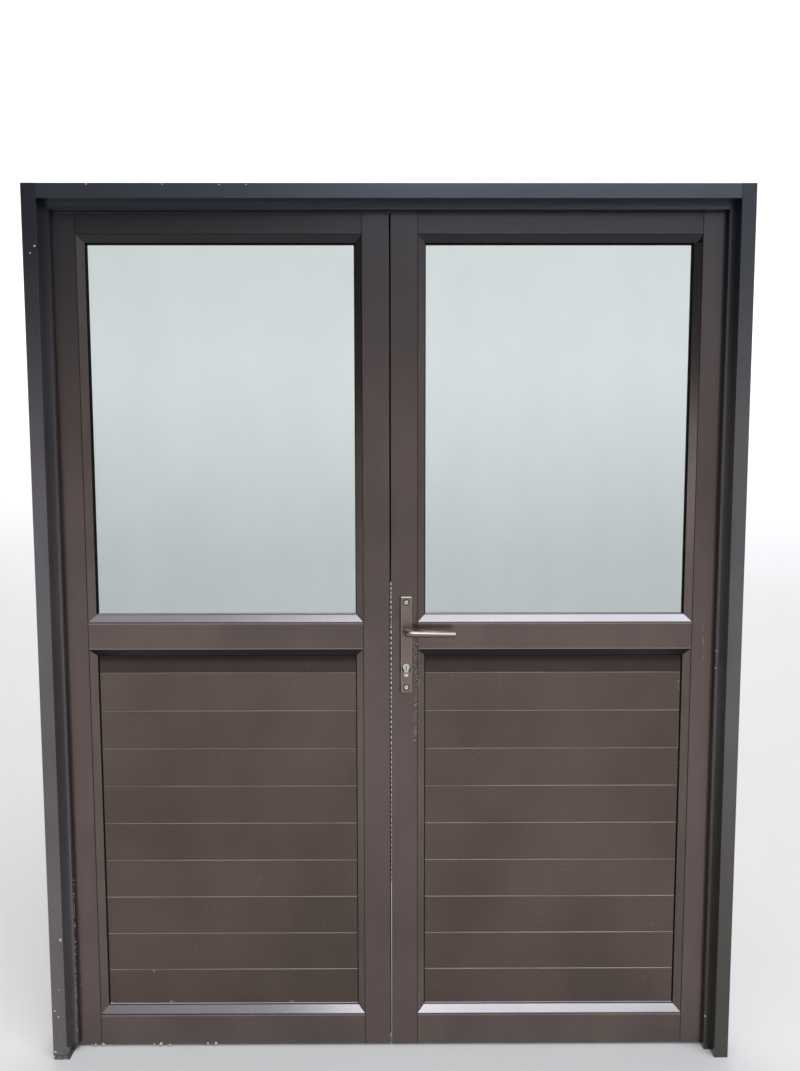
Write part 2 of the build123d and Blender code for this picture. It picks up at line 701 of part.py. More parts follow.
# Glass, slats, gaskets, beads and setting blocks of the two leaves
for side, hand in ((-1, "left"), (1, "right")):
    across = (opening_near, opening_far) if side > 0 else (-opening_far, -opening_near)
    glazing = (across, (glass_bottom, glass_top))
    panel = (across, (panel_bottom, panel_top))
    inner = (across[0] + edge_play, across[1] - edge_play)

    with BuildPart() as glass:
        block(inner, (-glass_thickness / 2, glass_thickness / 2),
              (glass_bottom + edge_play, glass_top - edge_play))
        chamfer(glass.edges(), 0.5)
    write(f"{hand}_glass", glass.part)

    slats = []
    slat_count = 1 + int((panel_top - edge_play - first_joint_height) // slat_pitch) + 1
    for k in range(slat_count):
        base = first_joint_height + (k - 1) * slat_pitch
        last = k == slat_count - 1
        top = panel_top - edge_play if last else base + slat_pitch
        half, tongue = slat_thickness / 2, tongue_width / 2
        slot = tongue + tongue_clearance
        roof = base + tongue_height + tongue_clearance
        crown = [(tongue, top), (tongue, top + tongue_height), (-tongue, top + tongue_height), (-tongue, top)]
        with BuildPart() as slat:
            with BuildSketch(Plane.YZ.offset(inner[0])):
                outline([
                    (-half, base + slat_chamfer), (-half + slat_chamfer, base), (-slot, base), (-slot, roof),
                    (slot, roof), (slot, base), (half - slat_chamfer, base), (half, base + slat_chamfer),
                    (half, top - slat_chamfer), (half - slat_chamfer, top),
                    *([] if last else crown), (-half + slat_chamfer, top), (-half, top - slat_chamfer),
                ])
                with Locations((0, (roof + top) / 2)):
                    Rectangle(slat_thickness - 2 * slat_wall, top - roof - 2 * slat_wall, mode=Mode.SUBTRACT)
            extrude(amount=inner[1] - inner[0])
        slats.append(slat.part)
    write(f"{hand}_panel_slats", *slats)

    for name, opening in (("glass", glazing), ("panel", panel)):
        beads = []
        for face in (-1, 1):
            butted = face < 0 and side > 0 and name == "glass"
            beads += [bead(opening, edge, face, ("top", "far") if butted else ())
                      for edge in ("near", "far", "bottom", "top")]
        write(f"{hand}_{name}_beads", *beads)
    write(f"{hand}_gaskets",
          *[gasket_ring(glazing, face, glass_thickness / 2) for face in (-1, 1)],
          *[gasket_ring(panel, face, slat_thickness / 2) for face in (-1, 1)])

    blocks = []
    quarter = (inner[1] - inner[0]) / 4
    panel_foot = first_joint_height - slat_pitch
    for low, high in ((glass_bottom, glass_bottom + edge_play), (panel_bottom, panel_foot)):
        for x in (inner[0] + quarter, inner[1] - quarter):
            with BuildPart() as piece:
                block((x - block_length / 2, x + block_length / 2), (-block_width / 2, block_width / 2),
                      (low, high))
            blocks.append(piece.part)
    write(f"{hand}_setting_blocks", *blocks)

# Pile strip on the passive leaf's meeting edge
with BuildPart() as left_meeting_pile:
    block((-meeting_edge, -meeting_edge - pile_base_depth),
          (pile_offset - pile_base_width / 2, pile_offset + pile_base_width / 2), (leaf_bottom, leaf_top))
    block((-meeting_edge, -meeting_edge + pile_height),
          (pile_offset - pile_width / 2, pile_offset + pile_width / 2), (leaf_bottom, leaf_top))
write("left_meeting_pile", left_meeting_pile.part)

# Strike plate and sliding bolts in the passive leaf
with BuildPart() as strike_plate:
    block((-meeting_edge, -meeting_edge - strike_thickness), strike_span, strike_rise)
    fillet(strike_plate.edges().filter_by(Axis.X), 2)
    for centre, height, thickness in pockets:
        block((0, -lip_offset), pocket(0, thickness), pocket(centre, height), Mode.SUBTRACT)
    for point in left_screw_points[:2]:
        countersink(point, (-1, 0, 0), strike_thickness)
write("strike_plate", strike_plate.part)

plates, guides = [], []
for centre, way in bolt_plates:
    with BuildPart() as plate:
        block((-meeting_edge, -meeting_edge - bolt_plate_thickness), (-lock_half, lock_half),
              (centre - bolt_plate_height / 2, centre + bolt_plate_height / 2))
        fillet(plate.edges().filter_by(Axis.X), 2)
        block((0, -lip_offset), (-thumb_slot_width / 2, thumb_slot_width / 2),
              (centre - thumb_slot_height / 2, centre + thumb_slot_height / 2), Mode.SUBTRACT)
        block((-meeting_edge - bolt_plate_thickness, -bolt_x - bolt_radius - 3),
              (-lock_half + 3.5, lock_half - 3.5),
              (centre - bolt_plate_height / 2 + 21, centre + bolt_plate_height / 2 - 21))
        block((0, -bolt_x - bolt_radius - 1), (-thumb_slot_width / 2, thumb_slot_width / 2),
              (centre - thumb_slot_height / 2, centre + thumb_slot_height / 2), Mode.SUBTRACT)
        rod((-bolt_x, 0, centre - bolt_plate_height), (0, 0, 1), 2 * bolt_plate_height,
            bolt_radius + pin_clearance, Mode.SUBTRACT)
        for point in left_screw_points:
            if abs(point[2] - centre) < bolt_plate_height / 2:
                countersink(point, (-1, 0, 0), bolt_plate_thickness)
    plates.append(plate.part)
    end = leaf_top if way > 0 else leaf_bottom
    with BuildPart() as guide:
        inside = leaf_face - face_wall
        block((-meeting_edge - edge_wall, -opening_near + glazing_wall), (-inside, inside),
              (end, end - way * guide_length))
        rod((-bolt_x, 0, end + way), (0, 0, -way), guide_length + 2, bolt_radius + pin_clearance,
            Mode.SUBTRACT)
    guides.append(guide.part)
    with BuildPart() as bolt:
        tip = end - way * bolt_start
        tail = centre - way * thumb_slot_height / 4
        rod((-bolt_x, 0, tail), (0, 0, way), abs(tip - tail), bolt_radius)
        chamfer(bolt.edges().sort_by(Axis.Z)[-1 if way > 0 else 0], 1)
        block((-meeting_edge - 0.5, -bolt_x), (-thumb_slot_width / 2 + 0.5, thumb_slot_width / 2 - 0.5),
              (tail, tail + way * (thumb_slot_height - bolt_travel - 4 - thumb_slot_height / 4)))
    write("top_bolt" if way > 0 else "bottom_bolt", bolt.part)
write("bolt_plates", *plates)
write("bolt_guides", *guides)
write("left_edge_screws", *[screw(p, (-1, 0, 0), edge_screw_length) for p in left_screw_points])

# Lock in the active leaf
back = meeting_edge + faceplate_thickness
case_span = (case_centre - case_height / 2, case_centre + case_height / 2)

with BuildPart() as lock_case:
    block((back, back + case_depth), (-case_thickness / 2, case_thickness / 2), case_span)
    fillet(lock_case.edges().filter_by(Axis.Y), 1)
    inside = case_thickness / 2 - case_wall
    block((back + case_wall, back + case_depth - case_wall), (-inside, inside),
          (case_span[0] + case_wall, case_span[1] - case_wall), Mode.SUBTRACT)
    for centre, height, thickness in pockets:
        half = thickness / 2 + bolt_clearance
        block((back - 1, back + case_wall + 1), (-half, half),
              (centre - height / 2 - bolt_clearance, centre + height / 2 + bolt_clearance), Mode.SUBTRACT)
    rod((lock_x, -case_thickness, lever_height), (0, 1, 0), 2 * case_thickness, follower_radius - 1.5,
        Mode.SUBTRACT)
    with BuildSketch(cylinder_plane(case_thickness)):
        cylinder_outline(bolt_clearance / 2)
    extrude(amount=2 * case_thickness, mode=Mode.SUBTRACT)
    rod((back - 1, 0, cylinder_height - cylinder_screw_drop), (1, 0, 0), case_wall + 2,
        screw_radius + foot_clearance, Mode.SUBTRACT)
write("lock_case", lock_case.part)

with BuildPart() as lock_faceplate:
    block((meeting_edge, back), (-faceplate_width / 2, faceplate_width / 2),
          (case_centre - faceplate_height / 2, case_centre + faceplate_height / 2))
    fillet(lock_faceplate.edges().filter_by(Axis.X), 3)
    for centre, height, thickness in pockets:
        half = thickness / 2 + bolt_clearance
        block((0, back + 1), (-half, half),
              (centre - height / 2 - bolt_clearance, centre + height / 2 + bolt_clearance), Mode.SUBTRACT)
    cylinder_screw_point = (meeting_edge, 0, cylinder_height - cylinder_screw_drop)
    for point in (*faceplate_screw_points, cylinder_screw_point):
        countersink(point, (1, 0, 0), faceplate_thickness)
write("lock_faceplate", lock_faceplate.part)
write("lock_screws", *[screw(p, (1, 0, 0), edge_screw_length) for p in faceplate_screw_points],
      screw(cylinder_screw_point, (1, 0, 0), backset + 2))

with BuildPart() as latch_bolt:
    nose = meeting_edge - latch_throw
    shoulder = meeting_edge + latch_body
    half = latch_thickness / 2
    with BuildSketch(Plane.XY.offset(latch_centre - latch_height / 2)):
        outline([(nose, half), (nose, half - 2.5), (meeting_edge - 1.5, -half), (shoulder, -half),
                 (shoulder, half)])
    extrude(amount=latch_height)
    lean = radians(lever_turn / 2)
    arm_face = lock_x - (follower_arm - arm_overlap) * tan(lean) + follower_width / 2 / cos(lean)
    lug = (arm_face + bolt_clearance, arm_face + bolt_clearance + latch_lug)
    block((shoulder, lug[1]), (-half, -follower_width / 2 - bolt_clearance),
          (latch_centre - 4, latch_centre + 4))
    block(lug, (-half, half), (lever_height + follower_arm - arm_overlap, latch_centre + 4))
write("latch_bolt", latch_bolt.part)

with BuildPart() as deadbolt:
    block((meeting_edge, meeting_edge + deadbolt_throw + deadbolt_hold),
          (-deadbolt_thickness / 2, deadbolt_thickness / 2),
          (deadbolt_centre - deadbolt_height / 2, deadbolt_centre + deadbolt_height / 2))
    fillet(deadbolt.edges().filter_by(Axis.Z).sort_by(Axis.X)[:2], 1)
write("deadbolt", deadbolt.part)

socket = spindle_size + 2 * spindle_clearance
with BuildPart() as follower:
    with BuildSketch(Plane(origin=(lock_x, case_thickness / 2 - case_wall - 0.3, lever_height),
                           x_dir=(1, 0, 0), z_dir=(0, -1, 0))):
        Circle(follower_radius)
        Rectangle(socket, socket, mode=Mode.SUBTRACT)
    extrude(amount=case_thickness - 2 * case_wall - 0.6)
    with Locations(Plane(origin=(lock_x, 0, lever_height)).rotated((0, -lever_turn / 2, 0))):
        with Locations((0, 0, (follower_arm + follower_radius - 1) / 2)):
            Box(follower_width, follower_width, follower_arm - follower_radius + 1)
write("follower", follower.part)

reach = leaf_face + lever_standoff - spindle_inset
with BuildPart() as spindle:
    block((lock_x - spindle_size / 2, lock_x + spindle_size / 2), (-reach, reach),
          (lever_height - spindle_size / 2, lever_height + spindle_size / 2))
write("spindle", spindle.part)



def lever_section(centre, way, size):
    """A rounded section of the lever, (height, depth, corner radius), square to the way that it runs."""
    with BuildSketch(Plane(origin=centre, z_dir=way, x_dir=(0, 0, 1))) as section:
        RectangleRounded(*size)
    return section.sketch


# Handle plates and levers, the same inside and outside
for face, name in ((-1, "outside"), (1, "inside")):
    outward = (0, face, 0)
    skin = face * leaf_face
    with BuildPart() as plate:
        with BuildSketch(Plane(origin=(lock_x, skin, plate_centre), x_dir=(1, 0, 0), z_dir=outward)):
            RectangleRounded(plate_width, plate_height, 1.2)
        extrude(amount=plate_thickness)
        rim = plate.faces().sort_by(Axis((0, 0, 0), outward))[-1].outer_wire().edges()
        chamfer(rim, plate_edge)
        rod((lock_x, skin, lever_height), outward, plate_thickness + 1, journal_radius + journal_clearance,
            Mode.SUBTRACT)
        with BuildSketch(cylinder_plane(leaf_face + plate_thickness + 1)):
            cylinder_outline(bolt_clearance / 2)
        extrude(amount=leaf_thickness + 2 * plate_thickness + 2, mode=Mode.SUBTRACT)
        for way in (-1, 1):
            rod((lock_x, skin, plate_centre + way * plate_screw_centres / 2), outward, plate_thickness + 1,
                plate_screw_radius + foot_clearance, Mode.SUBTRACT)
    write(f"{name}_plate", plate.part)

    neck_end = face * (leaf_face + lever_standoff - lever_bend)
    grip_y = face * (leaf_face + lever_standoff)
    with BuildPart() as lever:
        rod((lock_x, skin + face, lever_height), outward, plate_thickness + collar_height - 1, journal_radius)
        rod((lock_x, skin + face * (plate_thickness + collar_clearance), lever_height), outward,
            collar_height, collar_radius)
        neck_start = face * (leaf_face + plate_thickness + collar_height)
        neck = lever_section((lock_x, neck_start, lever_height), outward, lever_neck)
        extrude(neck, amount=abs(neck_end - neck_start))
        elbow = []
        for k in range(elbow_sections + 1):
            turn = radians(90) * k / elbow_sections
            x = lock_x + lever_bend * (1 - cos(turn))
            y = neck_end + face * lever_bend * sin(turn)
            size = [a + (b - a) * k / elbow_sections for a, b in zip(lever_neck, lever_root)]
            elbow.append(lever_section((x, y, lever_height), (sin(turn), face * cos(turn), 0), size))
        loft(elbow)
        tip_drop = (lever_root[0] - lever_tip[0]) / 2
        loft([lever_section((lock_x + lever_bend, grip_y, lever_height), (1, 0, 0), lever_root),
              lever_section((lock_x + lever_reach, grip_y, lever_height - tip_drop), (1, 0, 0), lever_tip)],
             ruled=True)
        block((lock_x - socket / 2, lock_x + socket / 2), (0, face * (reach + 1)),
              (lever_height - socket / 2, lever_height + socket / 2), Mode.SUBTRACT)
    write(f"{name}_lever", lever.part)

plate_screws = []
for way in (-1, 1):
    z = plate_centre + way * plate_screw_centres / 2
    with BuildPart() as piece:
        rod((lock_x, -leaf_face - plate_thickness, z), (0, 1, 0), leaf_thickness + 2 * plate_thickness,
            plate_screw_radius)
        for face in (-1, 1):
            rod((lock_x, face * (leaf_face + plate_thickness), z), (0, face, 0), plate_screw_cap,
                plate_screw_cap_radius)
    plate_screws.append(piece.part)
write("plate_screws", *plate_screws)

# Profile cylinder with its turning plug and cam
reach = leaf_face + plate_thickness + cylinder_proud
with BuildPart() as cylinder_body:
    with BuildSketch(cylinder_plane(reach)):
        cylinder_outline()
    extrude(amount=2 * reach)
    rod((lock_x, -reach - 1, cylinder_height), (0, 1, 0), 2 * reach + 2, plug_radius + pin_clearance,
        Mode.SUBTRACT)
    rod((lock_x, -cam_width / 2 - 0.2, cylinder_height), (0, 1, 0), cam_width + 0.4, cam_nose + 0.5,
        Mode.SUBTRACT)
    rod((lock_x - cylinder_lobe, 0, cylinder_height - cylinder_screw_drop), (1, 0, 0), 2 * cylinder_lobe,
        screw_radius + foot_clearance, Mode.SUBTRACT)
write("cylinder_body", cylinder_body.part)

with BuildPart() as key_plug:
    rod((lock_x, -reach, cylinder_height), (0, 1, 0), 2 * reach, plug_radius)
    rod((lock_x, -cam_width / 2, cylinder_height), (0, 1, 0), cam_width, cam_radius)
    block((lock_x - cam_half, lock_x + cam_half), (-cam_width / 2, cam_width / 2),
          (cylinder_height, cylinder_height - cam_nose + 0.4))
    keyway = cylinder_height - keyway_drop
    for face in (-1, 1):
        block((lock_x - keyway_width / 2, lock_x + keyway_width / 2),
              (face * reach, face * (reach - keyway_depth)),
              (keyway - keyway_height / 2, keyway + keyway_height / 2), Mode.SUBTRACT)
write("key_plug", key_plug.part)
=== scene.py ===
# %% [markdown]
# # A double entrance door of bronze aluminium
#
# The door comes in as a fixed frame: every extrusion, pane, hinge and lock part already has its
# real size and place. What is left for this file is the looks: how each surface was made, how it
# has weathered, and the small things that are too fine for the construction model, such as the
# sockets of the screws, the pile of the draught strip and the specks of dried mortar.
#
# Everything is in metres. X runs to the right as seen from the street, Y into the house and Z up.

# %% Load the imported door
from math import pi, radians

import bmesh
import bpy
import numpy as np
from mathutils import Matrix, Vector


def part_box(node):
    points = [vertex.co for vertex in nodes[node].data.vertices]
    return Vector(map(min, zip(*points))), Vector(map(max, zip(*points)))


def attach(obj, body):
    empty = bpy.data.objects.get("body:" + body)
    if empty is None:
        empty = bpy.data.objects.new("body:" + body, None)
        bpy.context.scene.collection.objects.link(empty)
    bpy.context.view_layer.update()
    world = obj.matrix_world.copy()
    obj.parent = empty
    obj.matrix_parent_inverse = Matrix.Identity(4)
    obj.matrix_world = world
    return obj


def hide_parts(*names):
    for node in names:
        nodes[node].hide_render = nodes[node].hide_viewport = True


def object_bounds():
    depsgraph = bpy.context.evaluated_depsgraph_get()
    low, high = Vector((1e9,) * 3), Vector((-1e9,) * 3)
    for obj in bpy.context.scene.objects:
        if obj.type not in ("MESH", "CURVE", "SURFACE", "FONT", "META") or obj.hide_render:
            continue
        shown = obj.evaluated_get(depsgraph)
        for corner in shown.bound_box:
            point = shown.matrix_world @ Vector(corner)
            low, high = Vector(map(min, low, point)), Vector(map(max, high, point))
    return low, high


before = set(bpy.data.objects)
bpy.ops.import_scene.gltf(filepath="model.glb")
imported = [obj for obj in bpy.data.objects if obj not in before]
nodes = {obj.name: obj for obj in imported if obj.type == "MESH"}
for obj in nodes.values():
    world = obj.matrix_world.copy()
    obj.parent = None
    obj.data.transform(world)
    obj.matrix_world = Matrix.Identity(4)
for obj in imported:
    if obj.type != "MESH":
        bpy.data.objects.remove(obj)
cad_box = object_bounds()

MM = 0.001

# %% [markdown]
# ## Colours and nodes
#
# Colours are written as the sRGB hex values that a colour picker shows on a surface, and one
# function turns them to the linear values that a shader works with. One more function adds a node
# of any kind with its settings and fills its inputs, either with a value or with a link. Every
# finish below is a short chain of such nodes on a Principled shader. A Map Range node carries a
# range of values smoothly to 0 and 1, or to two other values, and holds the ends: that is a mask.
# A Mix node lays the colour in its input 7 over the one in input 6, through the mask in input 0.


# %% A colour and a node
def colour(text):
    """Linear RGBA of an sRGB hex value: c/12.92 below 0.04045, else ((c + 0.055)/1.055)^2.4."""
    c = np.array([int(text[i:i + 2], 16) for i in (1, 3, 5)]) / 255
    linear = np.where(c <= 0.04045, c / 12.92, ((c + 0.055) / 1.055) ** 2.4)
    return (*linear.tolist(), 1.0)


# Every mask here is a smooth one, and every mix is of two colours
USUAL = {"MapRange": {"interpolation_type": "SMOOTHSTEP"}, "Mix": {"data_type": "RGBA"}}


def add(tree, kind, inputs=(), **settings):
    """Adds a node to a tree with its settings, and with a value or a link for each input.

    inputs names or numbers them, or fills the first ones in their order. A node that is given as a
    value is linked by its first output in use.
    """
    made = tree.nodes.new("ShaderNode" + kind)
    for key, value in {**USUAL.get(kind, {}), **settings}.items():
        setattr(made, key, value)
    feed(tree, made, inputs)
    return made


def feed(tree, node, inputs=(), **named):
    """Gives a node's inputs values or links. A name is written with _ for a space."""
    pairs = [*(inputs.items() if isinstance(inputs, dict) else enumerate(inputs)),
             *((key.replace("_", " "), value) for key, value in named.items())]
    for key, value in pairs:
        if isinstance(value, bpy.types.Node):
            value = next(socket for socket in value.outputs if socket.enabled)
        if isinstance(value, bpy.types.NodeSocket):
            tree.links.new(value, node.inputs[key])
        else:
            node.inputs[key].default_value = value


def finish_of(name, **values):
    """A new material with one Principled shader. Values that are the same all over are set on it."""
    material = bpy.data.materials.new(name)
    material.use_nodes = True
    tree = material.node_tree
    shader = tree.nodes["Principled BSDF"]
    feed(tree, shader, **values)
    return material, tree, shader, add(tree, "TexCoord").outputs["Object"]


def reopen(material):
    """The tree, shader and coordinates of a finish that is already made, and its colour so far."""
    tree = material.node_tree
    shader = tree.nodes["Principled BSDF"]
    place = add(tree, "TexCoord").outputs["Object"]
    return tree, shader, place, shader.inputs["Base Color"].links[0].from_socket


# %% [markdown]
# ## Patterns with a real size
#
# A noise texture's scale is the number of its blobs in a metre, so each pattern here is asked for
# by the size of one blob in millimetres. Stretching the coordinates makes streaks: an extruded
# bar has die lines along its whole length, a few millimetres apart.


# %% Patterns
def pattern(tree, place, size_mm, detail=3.0, roughness=0.5, shift=0.0):
    """Noise with blobs of size_mm, one number or one for each axis; returns its value, 0 to 1."""
    sizes = np.broadcast_to(np.asarray(size_mm, float), 3)
    moved = add(tree, "Mapping", {"Vector": place, "Location": (shift, shift * 0.7, shift * 1.3),
                                  "Scale": tuple(1 / (sizes * MM))})
    noise = add(tree, "TexNoise", {"Vector": moved.outputs["Vector"], "Scale": 1.0, "Detail": detail,
                                   "Roughness": roughness})
    return noise.outputs["Fac"]


def upward(tree):
    """How far a face looks up: 1 for a shelf, 0 for a wall, -1 for an underside."""
    normal = add(tree, "NewGeometry").outputs["Normal"]
    return add(tree, "SeparateXYZ", {"Vector": normal}).outputs["Z"]


# %% [markdown]
# ## Bronze aluminium
#
# The frame, leaves, slats and beads are aluminium extrusions with a dark bronze finish, satin and
# faintly metallic. The eye reads three things in it: soft grey-to-brown drifts a hand wide, die
# lines along the bar, and the weather. Dust lies on whatever looks up, and rain leaves pale dried
# drops that get denser towards the floor. Whatever looks down is painted dark as shade, darkest
# low down.
#
# One function makes all of them, because they come from one coating line; only the tone, the way
# the bar runs and the wear differ. The colour is also sorted by height: the lower two thirds are a
# warm brown, and the top is painted charcoal, as the shade under the lintel.
#
# Where two members meet, a dark hairline is painted in the joint, for the dirt in it and the shade
# in the gap, and each member's rounded edge beside it gets a painted highlight, a pale line. Both
# are narrower than the construction model's detail, so `near` masks the places where they run.


# %% Bronze coating
def near(tree, value, places_mm, half_mm):
    """A mask of lines half_mm to each side of some places along a coordinate."""
    total = 0.0
    for place_mm in places_mm:
        apart = add(tree, "Math", [add(tree, "Math", (value, place_mm * MM), operation="SUBTRACT")],
                    operation="ABSOLUTE")
        total = add(tree, "Math", (add(tree, "MapRange", (apart, half_mm * MM, half_mm * 0.4 * MM)), total),
                    operation="ADD")
    return total


def bronze(name, light, dark, high, bar=None, lines_x=(), lines_z=(), pale_z=(), ledge="#8f867c",
           ledge_even=False, roughness=0.25, drops=0.4, foot=None, shift=0.0):
    """Satin bronze coating on a bar that runs along X or Z, brown, with its top painted charcoal as shade.

    lines_x and lines_z are the joints in mm, as |x| and z, painted as dark hairlines of dirt and
    shade, and pale_z the rounded edges, painted as highlights. foot is the tone that a bar darkens
    to towards the floor.
    """
    material, tree, shader, place = finish_of(name, Metallic=0.84, Coat_Weight=0.3, Coat_Roughness=0.16)
    split = add(tree, "SeparateXYZ", {"Vector": place})
    height = split.outputs["Z"]
    side = add(tree, "Math", [split.outputs["X"]], operation="ABSOLUTE")
    drift = pattern(tree, place, (260, 260, 420), 2.0, 0.5, shift)
    stain = pattern(tree, place, (60, 60, 95), 4.0, 0.5, shift + 4)
    stretch = {"X": (9000, 5, 5), "Z": (5, 5, 9000), None: (9, 9, 9)}[bar]
    die_lines = pattern(tree, place, stretch, 2.0, 0.5, shift + 9)
    tone = add(tree, "Math", (add(tree, "Math", (drift, 0.75), operation="MULTIPLY"),
                              add(tree, "Math", (stain, 0.25), operation="MULTIPLY")), operation="ADD")
    base = add(tree, "Mix", {0: add(tree, "MapRange", (tone, 0.32, 0.68)), 6: colour(dark),
                             7: colour(light)})
    # The top is painted charcoal as the shade under the lintel; the drift makes its edge uneven
    lintel_shade_level = add(tree, "Math", (height, add(tree, "Math", (drift, 0.35), operation="MULTIPLY")),
                    operation="ADD")
    base = add(tree, "Mix", {0: add(tree, "MapRange", (lintel_shade_level, 1.72, 2.32)), 6: base, 7: colour(high)})
    base = add(tree, "Mix", {0: add(tree, "MapRange", (die_lines, 0.35, 0.75, 0.0, 0.04)), 6: base,
                             7: colour(light)}, blend_type="SCREEN")
    if foot:
        base = add(tree, "Mix", {0: add(tree, "MapRange", (height, 1.05, 0.15)), 6: base, 7: colour(foot)})

    # Pale dried drops, a few millimetres wide, most of them low down
    low_down = add(tree, "MapRange", (height, 1.5, 0.05, 0.12, 1.0))
    cells = add(tree, "TexVoronoi", {"Vector": place, "Scale": 1 / (11 * MM)})
    spots = add(tree, "MapRange", (cells.outputs["Distance"], 0.17, 0.08))
    chosen = add(tree, "MapRange", (pattern(tree, place, 70, 2.0, 0.5, shift + 2), 0.58, 0.72))
    drop_mask = add(tree, "Math", (add(tree, "Math", (spots, chosen), operation="MULTIPLY"),
                                   add(tree, "Math", (low_down, drops), operation="MULTIPLY")),
                    operation="MULTIPLY")
    base = add(tree, "Mix", {0: drop_mask, 6: base, 7: colour("#a79d92")})

    # Dust on ledges, painted shade on undersides, painted highlights on the rounded edges, and dark
    # hairlines of dirt and painted shade in the joints
    up = upward(tree)
    dust = 0.9 if ledge_even else add(tree, "MapRange", (stain, 0.3, 0.7, 0.3, 0.65))
    dusty = add(tree, "Math", (add(tree, "MapRange", (up, 0.4, 0.75)), dust), operation="MULTIPLY")
    base = add(tree, "Mix", {0: dusty, 6: base, 7: colour(ledge)})
    # Painted shade on whatever looks down, deepest below 1.1 m up
    underside_shade = add(tree, "Math", (add(tree, "MapRange", (up, -0.25, -0.5)),
                               add(tree, "MapRange", (height, 1.3, 1.1, 0.75, 0.97))), operation="MULTIPLY")
    base = add(tree, "Mix", {0: underside_shade, 6: base, 7: colour("#100a08")})
    # Painted highlights on the members' rounded edges, as pale lines
    if pale_z:
        edges = add(tree, "Math", (near(tree, height, pale_z, 1.7), 0.5), operation="MULTIPLY")
        base = add(tree, "Mix", {0: edges, 6: base, 7: colour("#b3a8a2")})
    # Dark hairlines in the joints: dirt, and painted shade in the gap
    if lines_x or lines_z:
        joints = add(tree, "Math", (near(tree, side, lines_x, 1.3), near(tree, height, lines_z, 1.3)),
                     operation="ADD")
        joints = add(tree, "Math", (joints, 0.85), operation="MINIMUM")
        base = add(tree, "Mix", {0: joints, 6: base, 7: colour("#0d0a09")})

    # The roughness varies little: a wider swing drew thin false lines where it crossed one value
    rough = add(tree, "Math", (add(tree, "Math", (drift, 0.05), operation="MULTIPLY"), roughness - 0.035),
                operation="ADD")
    wear = drop_mask if ledge_even else add(tree, "Math", (drop_mask, dusty), operation="ADD")
    rough = add(tree, "Math", (rough, add(tree, "Math", (wear, 0.25), operation="MULTIPLY")),
                operation="ADD")
    feed(tree, shader, Base_Color=base, Roughness=rough)
    # The coating's orange peel is about 1 mm wide; it is drawn at 3 mm so that it shows at all
    relief = add(tree, "Math", (pattern(tree, place, 3, 2.0),
                                add(tree, "Math", (die_lines, 0.35), operation="MULTIPLY")),
                 operation="ADD")
    feed(tree, shader, Normal=add(tree, "Bump", {"Height": relief, "Distance": 0.02 * MM, "Strength": 0.2}))
    return material


openings_x, openings_z = (67, 745), (88, 1038, 1106, 2038)
# The two jambs take one finish in two tones: the right one is painted darker, and darker still towards the
# floor, as the shade that it stands in
frame_left = bronze("bronze_frame_left", "#736e70", "#656062", "#43464b", "Z", shift=1)
frame_right = bronze("bronze_frame_right", "#6a6666", "#5d5959", "#43474c", "Z", foot="#504d47", shift=11)
frame_level = bronze("bronze_frame_level", "#6a6668", "#5d5a5d", "#565a61", "X", lines_x=(816,), shift=2)
leaf_upright, lock_stile_finish = (
    bronze(name, "#6b5c57", "#5e514c", "#524f51", "Z", lines_x=openings_x, shift=3)
    for name in ("bronze_leaf_upright", "bronze_lock_stile"))
leaf_level = bronze("bronze_leaf_level", "#6e6059", "#5f524c", "#4a494c", "X", openings_x, openings_z,
                    (84, 1039.5, 1102.5), shift=4)
bead_finish = bronze("bronze_beads", "#6e615b", "#5d504a", "#4a474a", None, openings_x, openings_z,
                     ledge="#94979b", ledge_even=True, roughness=0.2, drops=0.1, shift=5)
hinge_finish = bronze("bronze_hinges", "#4c423d", "#3d3531", "#38363a", "Z", roughness=0.34, drops=0.0,
                      shift=6)
print("bronze finishes:", [m.name for m in bpy.data.materials if m.name.startswith("bronze")])


# %% [markdown]
# The slats are one extrusion cut ten times, so neighbouring ones never match quite in tone. The
# slat's number comes from its height divided by the pitch, and a white noise of that number
# makes its own small step in brightness. Under the mid rail, rain has drawn pale runs down, and
# the strip right below it is painted dark as shade. Dust lies on each slat's rounded top lip,
# which makes it duller than the flat face, and along each joint a thin pale line is painted as a
# highlight, stronger in some places than in others.


# %% Slats
SLAT_COUNT, SLAT_PITCH, FIRST_JOINT = 10, 97.2 * MM, 198.4 * MM
TOP_JOINT = FIRST_JOINT + (SLAT_COUNT - 2) * SLAT_PITCH


